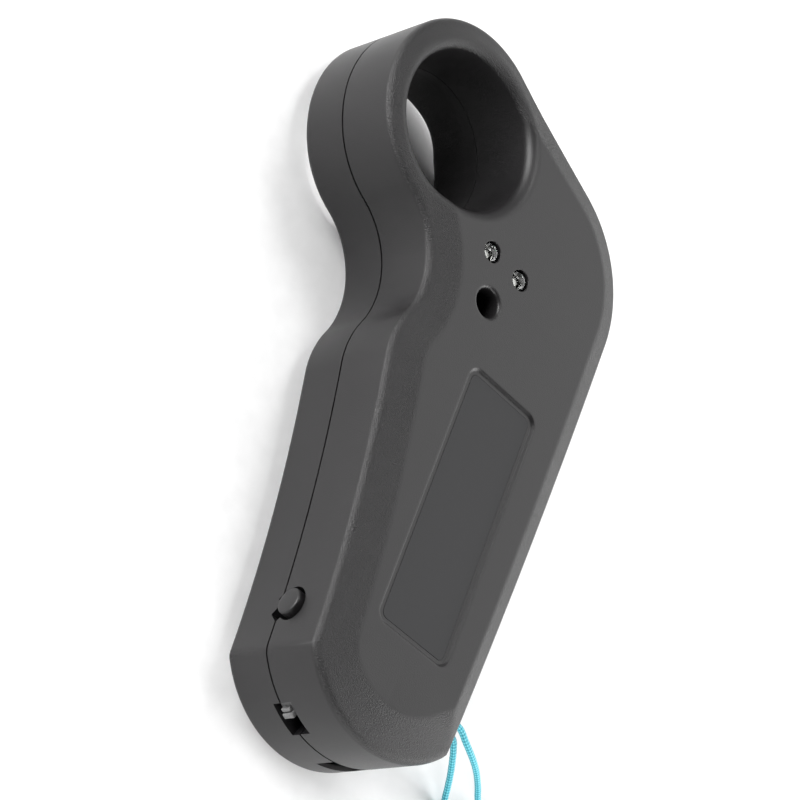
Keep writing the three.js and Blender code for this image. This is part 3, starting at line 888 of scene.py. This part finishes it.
def cord_route():
    """The whole cord in mm: out of the hole, through a flat coil of two layers and back in."""
    low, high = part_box("wrist_cord_coil")
    centre = (((low + high) / 2).x - RING_X) / MM, (((low + high) / 2).y - RING_Y) / MM
    route = list(LEAD_OUT)
    count = int(COIL_TURNS * STEPS_PER_TURN)
    climb = 1 / 6 / COIL_TURNS
    for i in range(count + 1):
        t = i / count
        radius = COIL_INNER + (COIL_OUTER - COIL_INNER) * abs(2 * t - 1)
        rise = min(max((t - 0.5) / climb + 0.5, 0), 1)
        rise = rise * rise * (3 - 2 * rise)
        x, y = polar(centre, radius, COIL_ENTRY - 360 * COIL_TURNS * t)
        route.append((x, y, COIL_LOW + (COIL_HIGH - COIL_LOW) * rise))
    return np.array(route + list(reversed(LEAD_BACK)))


def smooth_route(points, step):
    """A centripetal curve through the points, cut into equal steps."""
    padded = np.vstack([2 * points[0] - points[1], points, 2 * points[-1] - points[-2]])
    dense = []
    for p0, p1, p2, p3 in zip(padded[:-3], padded[1:-2], padded[2:-1], padded[3:]):
        t1 = np.linalg.norm(p1 - p0) ** 0.5
        t2 = t1 + np.linalg.norm(p2 - p1) ** 0.5
        t3 = t2 + np.linalg.norm(p3 - p2) ** 0.5
        t = np.linspace(t1, t2, 12, endpoint=False)[:, None]
        a1 = (t1 - t) / t1 * p0 + t / t1 * p1
        a2 = (t2 - t) / (t2 - t1) * p1 + (t - t1) / (t2 - t1) * p2
        a3 = (t3 - t) / (t3 - t2) * p2 + (t - t2) / (t3 - t2) * p3
        b1 = (t2 - t) / t2 * a1 + t / t2 * a2
        b2 = (t3 - t) / (t3 - t1) * a2 + (t - t1) / (t3 - t1) * a3
        dense += list((t2 - t) / (t2 - t1) * b1 + (t - t1) / (t2 - t1) * b2)
    dense = np.array(dense + [points[-1]])
    run = np.concatenate([[0], np.cumsum(np.linalg.norm(np.diff(dense, axis=0), axis=1))])
    places = np.linspace(0, run[-1], int(run[-1] / step) + 1)
    return np.stack([np.interp(places, run, dense[:, k]) for k in range(3)], axis=1), run[-1]


def make_cord(diameter, step=0.3, sides=16):
    """A braided tube along the route, its strands raised, with its own lengthwise map."""
    route, length = smooth_route(cord_route(), step)
    bm = bmesh.new()
    layer = bm.loops.layers.uv.new("braid")
    along = np.gradient(route, axis=0)
    along /= np.linalg.norm(along, axis=1)[:, None]
    side = np.cross(along[0], (0, 0, 1.0))
    rings = []
    for i, point in enumerate(route):
        side = side - along[i] * np.dot(side, along[i])
        side /= np.linalg.norm(side)
        up = np.cross(along[i], side)
        ring = []
        for k in range(sides):
            a = 2 * math.pi * k / sides
            lift = 0.02 * math.cos(4 * a + i * step * 3.2) * math.cos(4 * a - i * step * 3.2)
            offset = (side * math.cos(a) + up * math.sin(a)) * (diameter / 2 - 0.02 + lift)
            ring.append(bm.verts.new(place(*(point + offset))))
        rings.append(ring)
    for i, (low, high) in enumerate(zip(rings[:-1], rings[1:])):
        for k in range(sides):
            n = (k + 1) % sides
            face = bm.faces.new((low[k], low[n], high[n], high[k]))
            for loop, (u, v) in zip(face.loops, ((k, i), (k + 1, i), (k + 1, i + 1), (k, i + 1))):
                loop[layer].uv = (u / sides, v * step)
    bm.faces.new(list(reversed(rings[0])))
    bm.faces.new(rings[-1])
    bmesh.ops.recalc_face_normals(bm, faces=bm.faces)
    cord = finish_mesh(bm, "wrist_cord", 60)
    return cord, [tuple(place(*p)) for p in route], length * MM


# --- materials ------------------------------------------------------------------------------------------

def colour(text):
    """An sRGB hex colour as linear RGBA."""
    values = [int(text[i:i + 2], 16) / 255 for i in (1, 3, 5)]
    return tuple(v / 12.92 if v <= 0.04045 else ((v + 0.055) / 1.055) ** 2.4 for v in values) + (1.0,)


def new_material(name):
    """A material with an empty node tree."""
    material = bpy.data.materials.new(name)
    material.use_nodes = True
    material.node_tree.nodes.clear()
    return material, material.node_tree


def add(tree, kind, sockets=None, stops=(), **settings):
    """Adds a node; a socket takes a constant or another node's output, and stops are a ramp's colours."""
    node = tree.nodes.new("ShaderNode" + kind)
    for i, (where, value) in enumerate(stops):
        stop = node.color_ramp.elements[i] if i < 2 else node.color_ramp.elements.new(where)
        stop.position = where
        stop.color = value if isinstance(value, tuple) else (value, value, value, 1)
    for key, value in settings.items():
        setattr(node, key, value)
    for key, value in (sockets or {}).items():
        socket = node.inputs[key]
        if isinstance(value, bpy.types.NodeSocket):
            tree.links.new(value, socket)
        else:
            socket.default_value = value
    return node


# A Mix node has float, vector and colour sockets of the same names: these are the colour ones.
MIX_A, MIX_B, MIX_COLOUR = 6, 7, 2


def finish_material(tree, sockets):
    """Ends a tree with its shader and output."""
    shader = add(tree, "BsdfPrincipled", sockets)
    add(tree, "OutputMaterial", {"Surface": shader.outputs["BSDF"]})


def scale_for(size_mm):
    """A pattern scale whose features are about this many mm on Object coordinates."""
    return 1000 / size_mm


def moulded_abs(name, tone, grain_mm, flat_bump, band_bump, rough):
    """Spark-eroded ABS: a fine sandy grain, coarser on the sloped band, with faint flow clouds."""
    # The real grain is finer than this; it is drawn coarser so that it shows.
    material, tree = new_material(name)
    spot = add(tree, "TexCoord").outputs["Object"]
    fine = add(tree, "TexNoise", {"Vector": spot, "Scale": scale_for(grain_mm), "Detail": 2.0,
                                  "Roughness": 0.6}).outputs["Fac"]
    clouds = add(tree, "TexNoise", {"Vector": spot, "Scale": scale_for(14), "Detail": 3.0,
                                    "Roughness": 0.55}).outputs["Fac"]
    band = add(tree, "Attribute", attribute_name="band").outputs["Fac"]
    strength = add(tree, "MapRange", {"Value": band, "To Min": flat_bump,
                                      "To Max": band_bump}).outputs["Result"]
    bump = add(tree, "Bump", {"Height": fine, "Strength": strength, "Distance": 0.00014}).outputs["Normal"]
    light, dark = colour(tone[0]), colour(tone[1])
    shade = add(tree, "ValToRGB", {"Fac": clouds}, stops=((0.35, dark), (0.65, light))).outputs["Color"]
    speck = add(tree, "ValToRGB", {"Fac": fine}, stops=((0.3, 0.86), (0.7, 1.1))).outputs["Color"]
    tint = add(tree, "Mix", {0: 1.0, MIX_A: shade, MIX_B: speck}, data_type="RGBA", blend_type="MULTIPLY")
    polish = add(tree, "MapRange", {"Value": clouds, "From Min": 0.3, "From Max": 0.7,
                                    "To Min": rough - 0.03, "To Max": rough + 0.04}).outputs["Result"]
    finish_material(tree, {"Base Color": tint.outputs[MIX_COLOUR], "Roughness": polish, "Normal": bump,
                           "IOR": 1.44})
    return material


def label_film():
    """Matte polycarbonate overlay: smoother than the moulding, with only a faint orange peel."""
    material, tree = new_material("polycarbonate_overlay_film")
    spot = add(tree, "TexCoord").outputs["Object"]
    peel = add(tree, "TexNoise", {"Vector": spot, "Scale": scale_for(1.2), "Detail": 2.0}).outputs["Fac"]
    fine = add(tree, "TexNoise", {"Vector": spot, "Scale": scale_for(0.3), "Detail": 1.0}).outputs["Fac"]
    both = add(tree, "Math", {0: peel, 1: fine}, operation="ADD").outputs["Value"]
    bump = add(tree, "Bump", {"Height": both, "Strength": 0.12, "Distance": 0.00004}).outputs["Normal"]
    shade = add(tree, "ValToRGB", {"Fac": peel},
                stops=((0.3, colour(COLOURS().film)), (0.7, colour("#171719")))).outputs["Color"]
    rough = add(tree, "MapRange", {"Value": peel, "To Min": 0.48, "To Max": 0.56}).outputs["Result"]
    finish_material(tree, {"Base Color": shade, "Roughness": rough, "Normal": bump, "IOR": 1.42})
    return material


def speckled(name, dark, light, size_mm, rough, metallic=0.0, bump=0.15, depth=0.00003, stretch=(1, 1, 1)):
    """A solid finish with a real-scale mottle: colour, gloss and relief follow one pattern."""
    material, tree = new_material(name)
    spot = add(tree, "TexCoord").outputs["Object"]
    turn = add(tree, "Mapping", {"Vector": spot, "Scale": stretch}).outputs["Vector"]
    grain = add(tree, "TexNoise", {"Vector": turn, "Scale": scale_for(size_mm), "Detail": 3.0}).outputs["Fac"]
    shade = add(tree, "ValToRGB", {"Fac": grain},
                stops=((0.3, colour(dark)), (0.7, colour(light)))).outputs["Color"]
    gloss = add(tree, "MapRange", {"Value": grain, "To Min": rough - 0.08,
                                   "To Max": rough + 0.08}).outputs["Result"]
    relief = add(tree, "Bump", {"Height": grain, "Strength": bump, "Distance": depth}).outputs["Normal"]
    sockets = {"Base Color": shade, "Roughness": gloss, "Normal": relief, "Metallic": metallic}
    if not metallic:
        sockets["IOR"] = 1.5
    finish_material(tree, sockets)
    return material


def clear_epoxy():
    """Water-clear cast epoxy with faint flow lines, glassy on the dome."""
    material, tree = new_material("cast_clear_epoxy")
    spot = add(tree, "TexCoord").outputs["Object"]
    flow = add(tree, "TexNoise", {"Vector": spot, "Scale": scale_for(1.5), "Detail": 1.0}).outputs["Fac"]
    shade = add(tree, "ValToRGB", {"Fac": flow},
                stops=((0.3, colour("#dfe3e6")), (0.7, colour("#ffffff")))).outputs["Color"]
    relief = add(tree, "Bump", {"Height": flow, "Strength": 0.08, "Distance": 0.00004}).outputs["Normal"]
    finish_material(tree, {"Base Color": shade, "Roughness": 0.04, "Transmission Weight": 1.0, "IOR": 1.53,
                           "Normal": relief})
    return material


def braided_nylon():
    """Braided nylon: sixteen-carrier diamonds, with a painted highlight on the strands' crowns and painted
    shade where strands dive under.
    """
    material, tree = new_material("braided_nylon_cord")
    uv = add(tree, "UVMap", uv_map="braid").outputs["UV"]
    split = add(tree, "SeparateXYZ", {"Vector": uv})
    waves = []
    for sense in (1.0, -1.0):
        lengthwise = add(tree, "Math", {0: split.outputs["Y"], 1: 5.2 * sense}, operation="MULTIPLY")
        turn = add(tree, "Math", {0: split.outputs["X"], 1: 8 * math.pi, 2: lengthwise.outputs["Value"]},
                   operation="MULTIPLY_ADD")
        waves.append(add(tree, "Math", {0: turn.outputs["Value"]}, operation="COSINE").outputs["Value"])
    weave = add(tree, "Math", {0: waves[0], 1: waves[1]}, operation="MULTIPLY").outputs["Value"]
    crown = add(tree, "MapRange", {"Value": weave, "From Min": -1.0}).outputs["Result"]
    hairs = add(tree, "TexNoise", {"Vector": add(tree, "Mapping", {"Vector": uv, "Scale": (120, 9, 1)})
                                   .outputs["Vector"], "Scale": 1.0, "Detail": 3.0}).outputs["Fac"]
    # The weave's colours are painted light: the pale stop is a painted highlight on each strand's crown, the
    # dark stop painted shade where strands dive under.
    shade = add(tree, "ValToRGB", {"Fac": crown},
                stops=((0.1, colour("#118296")), (0.55, colour(COLOURS().cord)),
                       (0.95, colour("#8adfe8")))).outputs["Color"]
    fibre = add(tree, "ValToRGB", {"Fac": hairs}, stops=((0.3, 0.82), (0.7, 1.08))).outputs["Color"]
    tint = add(tree, "Mix", {0: 1.0, MIX_A: shade, MIX_B: fibre}, data_type="RGBA", blend_type="MULTIPLY")
    height = add(tree, "Math", {0: hairs, 1: 0.25, 2: crown}, operation="MULTIPLY_ADD").outputs["Value"]
    relief = add(tree, "Bump", {"Height": height, "Strength": 0.5, "Distance": 0.00006}).outputs["Normal"]
    finish_material(tree, {"Base Color": tint.outputs[MIX_COLOUR], "Roughness": 0.62, "Normal": relief,
                           "Sheen Weight": 0.35, "Sheen Roughness": 0.4, "IOR": 1.53})
    return material


def circuit_board():
    """Green solder mask over copper tracks, which show as slightly paler raised lines."""
    material, tree = new_material("solder_mask_board")
    spot = add(tree, "TexCoord").outputs["Object"]
    tracks = add(tree, "TexBrick", {"Vector": spot, "Scale": 1.0, "Mortar Size": 0.00018,
                                    "Brick Width": 0.0043, "Row Height": 0.0017, "Color1": (0, 0, 0, 1),
                                    "Color2": (0, 0, 0, 1), "Mortar": (1, 1, 1, 1)}).outputs["Color"]
    cloud = add(tree, "TexNoise", {"Vector": spot, "Scale": scale_for(3)}).outputs["Fac"]
    ground = add(tree, "ValToRGB", {"Fac": cloud},
                 stops=((0.3, colour("#0f4a29")), (0.7, colour("#165c34")))).outputs["Color"]
    shade = add(tree, "Mix", {0: tracks, MIX_A: ground, MIX_B: colour("#2a7a48")}, data_type="RGBA")
    relief = add(tree, "Bump", {"Height": tracks, "Strength": 0.4, "Distance": 0.00005}).outputs["Normal"]
    finish_material(tree, {"Base Color": shade.outputs[MIX_COLOUR], "Roughness": 0.35, "Normal": relief})
    return material


# --- the add-on ---------------------------------------------------------------------------------------------

class RemoteSizes(bpy.types.PropertyGroup):
    """Sizes of the remote, in metres"""
    cord_diameter: bpy.props.FloatProperty(
        name="Cord diameter", description="Thickness of the wrist cord",
        default=0.00105, subtype="DISTANCE", unit="LENGTH")
    shell_grain: bpy.props.FloatProperty(
        name="Shell grain", description="Grain of the spark-eroded moulding",
        default=0.0002, subtype="DISTANCE", unit="LENGTH")
    floor_size: bpy.props.FloatProperty(
        name="Floor size", description="Side of the pale floor",
        default=4.0, subtype="DISTANCE", unit="LENGTH")


class RemoteColours(bpy.types.PropertyGroup):
    """Colours of the remote's finishes"""
    shell: bpy.props.StringProperty(name="Shell", description="Moulded housing, sRGB hex", default="#191819")
    shell_deep: bpy.props.StringProperty(
        name="Deep shell", description="Darker flow clouds", default="#151415")
    film: bpy.props.StringProperty(name="Film", description="Label film, sRGB hex", default="#131315")
    cord: bpy.props.StringProperty(name="Cord", description="Braided cord, sRGB hex", default="#31bacd")
    knob: bpy.props.StringProperty(name="Knob", description="Power switch knob, sRGB hex", default="#6a6a6a")
    floor: bpy.props.StringProperty(name="Floor", description="Pale floor, sRGB hex", default="#f4f4f4")


def SIZES():
    """The sizes that the panel shows."""
    return bpy.context.scene.remote_sizes


def COLOURS():
    """The colours that the panel shows."""
    return bpy.context.scene.remote_colours


def fit_out(piece, node, material):
    """Gives a finished piece its body, the node it stands for and its material."""
    piece.data.materials.clear()
    piece.data.materials.append(material)
    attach(piece, frame["nodes"][node]["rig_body"])
    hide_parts(node)


FLAT_RELIEF, BAND_RELIEF, SHELL_ROUGHNESS = 0.2, 1.0, 0.4


def shell_material():
    """The housing's finish, made once and shared by its pieces."""
    if "spark_eroded_abs" in bpy.data.materials:
        return bpy.data.materials["spark_eroded_abs"]
    tone = (COLOURS().shell, COLOURS().shell_deep)
    grain = SIZES().shell_grain / MM
    return moulded_abs("spark_eroded_abs", tone, grain, FLAT_RELIEF, BAND_RELIEF, SHELL_ROUGHNESS)


# The camera's aim on the seam's plane, its bearing and height in degrees, and its roll about its own axis.
CAMERA_AIM = (13.9, -38.3, SEAM)
CAMERA_BEARING, CAMERA_HEIGHT, CAMERA_ROLL = -136.0, 44.9, 77.3
CAMERA_DISTANCE = 408
CAMERA_LENS = 124


class REMOTE_OT_camera(bpy.types.Operator):
    """Place the camera above the grip side of the remote"""
    bl_idname = "remote.camera"
    bl_label = "Camera"

    def execute(self, context):
        data = bpy.data.cameras.new("camera")
        data.lens, data.sensor_width = CAMERA_LENS, 36
        data.clip_start, data.clip_end = 0.01, 20
        camera = bpy.data.objects.new("camera", data)
        swing = Matrix.Rotation(math.radians(CAMERA_BEARING + 90), 4, "Z")
        tilt = Matrix.Rotation(math.radians(90 - CAMERA_HEIGHT), 4, "X")
        roll = Matrix.Rotation(math.radians(CAMERA_ROLL), 4, "Z")
        away = Matrix.Translation((0, 0, CAMERA_DISTANCE * MM))
        camera.matrix_world = Matrix.Translation(place(*CAMERA_AIM)) @ swing @ tilt @ roll @ away
        context.scene.collection.objects.link(camera)
        context.scene.camera = camera
        return {"FINISHED"}


class REMOTE_OT_cord(bpy.types.Operator):
    """Lay the braided wrist cord through its hole and into a flat coil"""
    bl_idname = "remote.cord"
    bl_label = "Wrist cord"

    def execute(self, context):
        diameter = SIZES().cord_diameter
        cord, path, length = make_cord(diameter / MM)
        cord.data.materials.append(braided_nylon())
        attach(cord, "housing")
        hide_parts("wrist_cord_lead_a", "wrist_cord_lead_b", "wrist_cord_coil")
        return {"FINISHED"}


class REMOTE_OT_front(bpy.types.Operator):
    """Mould the front half with its label recess and holes"""
    bl_idname = "remote.front"
    bl_label = "Front half"

    def execute(self, context):
        fit_out(make_front(), "front_shell", shell_material())
        return {"FINISHED"}


class REMOTE_OT_rear(bpy.types.Operator):
    """Mould the rear half with its seam lip"""
    bl_idname = "remote.rear"
    bl_label = "Rear half"

    def execute(self, context):
        fit_out(make_rear(), "rear_shell", shell_material())
        return {"FINISHED"}


class REMOTE_OT_label(bpy.types.Operator):
    """Cut the blank label film"""
    bl_idname = "remote.label"
    bl_label = "Label film"

    def execute(self, context):
        fit_out(make_label(), "label_plate", label_film())
        return {"FINISHED"}


class REMOTE_OT_lamps(bpy.types.Operator):
    """Cast the two clear lamps with their cups and legs"""
    bl_idname = "remote.lamps"
    bl_label = "Lamps"

    def execute(self, context):
        epoxy = clear_epoxy()
        plated = speckled("silver_plated_leadframe", "#b9b9b4", "#d8d8d4", 0.4, 0.25, 1.0)
        for name in ("lamp_power", "lamp_link"):
            lens, cup, legs = make_lamp(name, name)
            fit_out(lens, name, epoxy)
            for part in (cup, legs):
                part.data.materials.append(plated)
                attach(part, "housing")
        return {"FINISHED"}


class REMOTE_OT_screws(bpy.types.Operator):
    """Turn the three black screws"""
    bl_idname = "remote.screws"
    bl_label = "Screws"

    def execute(self, context):
        black = speckled("black_oxide_steel", "#1b1b1d", "#2a2a2c", 0.25, 0.38, 1.0)
        for node in ("screw_upper", "screw_middle", "screw_lower"):
            fit_out(make_screw(node.replace("screw_", "screw_pan_"), node), node, black)
        return {"FINISHED"}


class REMOTE_OT_controls(bpy.types.Operator):
    """Mould the pairing button, the power switch knob and the thumb wheel"""
    bl_idname = "remote.controls"
    bl_label = "Controls"

    def execute(self, context):
        fit_out(make_button(), "pairing_button", shell_material())
        nylon = speckled("moulded_grey_acetal", "#4a4a4a", COLOURS().knob, 0.3, 0.42, bump=0.2)
        fit_out(make_knob(), "power_switch_knob", nylon)
        rubber = speckled("moulded_rubber_tyre", "#101011", "#1c1c1d", 0.25, 0.72, bump=0.5, depth=0.00005)
        steel = speckled("drawn_steel_socket", "#5b5c5e", "#77787a", 0.8, 0.35, 1.0)
        fit_out(make_socket(), "charge_socket", steel)
        fit_out(make_wheel(), "throttle_wheel", rubber)
        return {"FINISHED"}


class REMOTE_OT_rods(bpy.types.Operator):
    """Grind the wheel axle and the cord pin"""
    bl_idname = "remote.rods"
    bl_label = "Axle and pin"

    def execute(self, context):
        ground = speckled("ground_steel_rod", "#9da0a3", "#c6c9cc", 0.5, 0.24, 1.0, stretch=(1, 1, 12))
        fit_out(make_rod("axle_rod", "wheel_axle"), "wheel_axle", ground)
        fit_out(make_rod("cord_pin", "lanyard_pin"), "lanyard_pin", ground)
        return {"FINISHED"}


class REMOTE_OT_inside(bpy.types.Operator):
    """Finish the pieces that the drawing already shapes: board, battery and switch"""
    bl_idname = "remote.inside"
    bl_label = "Inside pieces"

    def execute(self, context):
        finishes = {
            circuit_board(): ("main_board", "radio_module"),
            speckled("moulded_epoxy_chip", "#131314", "#1d1d1e", 0.2, 0.5):
                ("control_chip", "hall_sensor", "tact_switch"),
            speckled("tinned_steel_can", "#a9adb0", "#c9ccce", 1.5, 0.3, 1.0): ("radio_shield",),
            speckled("aluminium_foil_pouch", "#8e949a", "#b4b9be", 2.5, 0.35, 1.0, bump=0.6, depth=0.0002):
                ("battery_cell",),
            speckled("white_nylon_plug", "#dedbd0", "#efece3", 0.4, 0.5): ("battery_plug",),
            speckled("red_pvc_wire", "#9c1616", "#bd2424", 0.8, 0.45): ("battery_lead_red",),
            speckled("black_pvc_wire", "#101011", "#1c1c1d", 0.8, 0.45): ("battery_lead_black",),
            speckled("blackened_switch_case", "#222224", "#303032", 0.4, 0.4, 1.0): ("power_switch_body",),
            speckled("nickel_plated_magnet", "#aeada6", "#cbc9c2", 0.6, 0.22, 1.0): ("wheel_magnet",),
            speckled("spring_steel_wire", "#8d9093", "#b3b6b9", 0.3, 0.28, 1.0): ("wheel_spring",),
        }
        for material, nodes in finishes.items():
            for node in nodes:
                mesh = frame["nodes"][node].data
                mesh.materials.clear()
                mesh.materials.append(material)
        return {"FINISHED"}


# Directions of the tent's dark opening, low on the butt's side, and of its dimmer gap beyond the ring.
TENT_OPENING = (-0.1, -0.75, 0.65)
TENT_GAP = (-0.1, 0.93, 0.35)
TENT_STRENGTH = 2.1


def light_tent(tree):
    """A white tent all round, dark at its opening and dimmer in its gap."""
    way = add(tree, "TexCoord").outputs["Generated"]
    facing = add(tree, "VectorMath", {0: way, 1: TENT_OPENING}, operation="DOT_PRODUCT").outputs["Value"]
    cloth = add(tree, "MapRange", {"Value": facing, "From Min": 0.1, "From Max": 0.55, "To Min": 1.0,
                                   "To Max": 0.02}, interpolation_type="SMOOTHSTEP").outputs["Result"]
    beyond = add(tree, "VectorMath", {0: way, 1: TENT_GAP}, operation="DOT_PRODUCT").outputs["Value"]
    gap = add(tree, "MapRange", {"Value": beyond, "From Min": 0.72, "From Max": 0.88, "To Min": 1.0,
                                 "To Max": 0.25}, interpolation_type="SMOOTHSTEP").outputs["Result"]
    both = add(tree, "Math", {0: cloth, 1: gap}, operation="MULTIPLY").outputs["Value"]
    background = tree.nodes["Background"]
    tree.links.new(both, background.inputs["Color"])
    background.inputs["Strength"].default_value = TENT_STRENGTH


class REMOTE_OT_stage(bpy.types.Operator):
    """Lay the pale floor and hang the soft lights"""
    bl_idname = "remote.stage"
    bl_label = "Stage"

    def execute(self, context):
        bm = bmesh.new()
        bmesh.ops.create_grid(bm, x_segments=1, y_segments=1, size=SIZES().floor_size / 2)
        bmesh.ops.translate(bm, verts=bm.verts, vec=(0, 0, -0.0002))
        floor = finish_mesh(bm, "floor")
        paper = speckled("matte_paper_sweep", COLOURS().floor, "#fafafa", 4, 0.9, bump=0.02)
        floor.data.materials.append(paper)
        for stray in [o for o in bpy.data.objects if o.type == "LIGHT" or o.name == "Cube"]:
            bpy.data.objects.remove(stray)
        world = bpy.data.worlds.new("studio")
        world.use_nodes = True
        light_tent(world.node_tree)
        context.scene.world = world
        context.scene.view_settings.view_transform = "Standard"
        for name, at, size, power in LAMPS:
            light = bpy.data.lights.new(name, "AREA")
            light.shape, light.size, light.energy = "SQUARE", size, power
            lamp = bpy.data.objects.new(name, light)
            lamp.location = at
            lamp.rotation_euler = (-Vector(at)).to_track_quat("-Z", "Y").to_euler()
            context.scene.collection.objects.link(lamp)
        return {"FINISHED"}


# Each soft box: name, place in metres, side in metres and power in watts.
LAMPS = (
    ("softbox_top", (-0.05, 0.5, 0.95), 0.3, 3.0),
    ("softbox_right", (0.9, -0.1, 0.35), 0.6, 6.0),
    ("softbox_left", (-0.85, 0.05, 0.28), 0.6, 13.5),
    ("softbox_front", (0.35, -0.9, 0.25), 0.6, 7.0),
)

STEPS = (REMOTE_OT_camera, REMOTE_OT_cord, REMOTE_OT_front, REMOTE_OT_rear, REMOTE_OT_label, REMOTE_OT_lamps,
         REMOTE_OT_screws, REMOTE_OT_controls, REMOTE_OT_rods, REMOTE_OT_inside, REMOTE_OT_stage)


class REMOTE_PT_panel(bpy.types.Panel):
    """Lists the sizes, the colours and the builders"""
    bl_idname = "REMOTE_PT_panel"
    bl_label = "Ring remote"
    bl_space_type = "VIEW_3D"
    bl_region_type = "UI"
    bl_category = "Remote"

    def draw(self, context):
        for group in (context.scene.remote_sizes, context.scene.remote_colours):
            for key in group.__annotations__:
                self.layout.prop(group, key)
        for step in STEPS:
            self.layout.operator(step.bl_idname)


CLASSES = (RemoteSizes, RemoteColours) + STEPS + (REMOTE_PT_panel,)


def register():
    """Registers the classes and the remote's sizes and colours."""
    for cls in CLASSES:
        bpy.utils.register_class(cls)
    bpy.types.Scene.remote_sizes = bpy.props.PointerProperty(type=RemoteSizes)
    bpy.types.Scene.remote_colours = bpy.props.PointerProperty(type=RemoteColours)


def unregister():
    """Takes back what register did."""
    del bpy.types.Scene.remote_sizes
    del bpy.types.Scene.remote_colours
    for cls in reversed(CLASSES):
        bpy.utils.unregister_class(cls)


def main():
    """Builds each piece in order."""
    register()
    for step in STEPS:
        group, name = step.bl_idname.split(".")
        getattr(getattr(bpy.ops, group), name)()


if __name__ == "__main__":
    main()
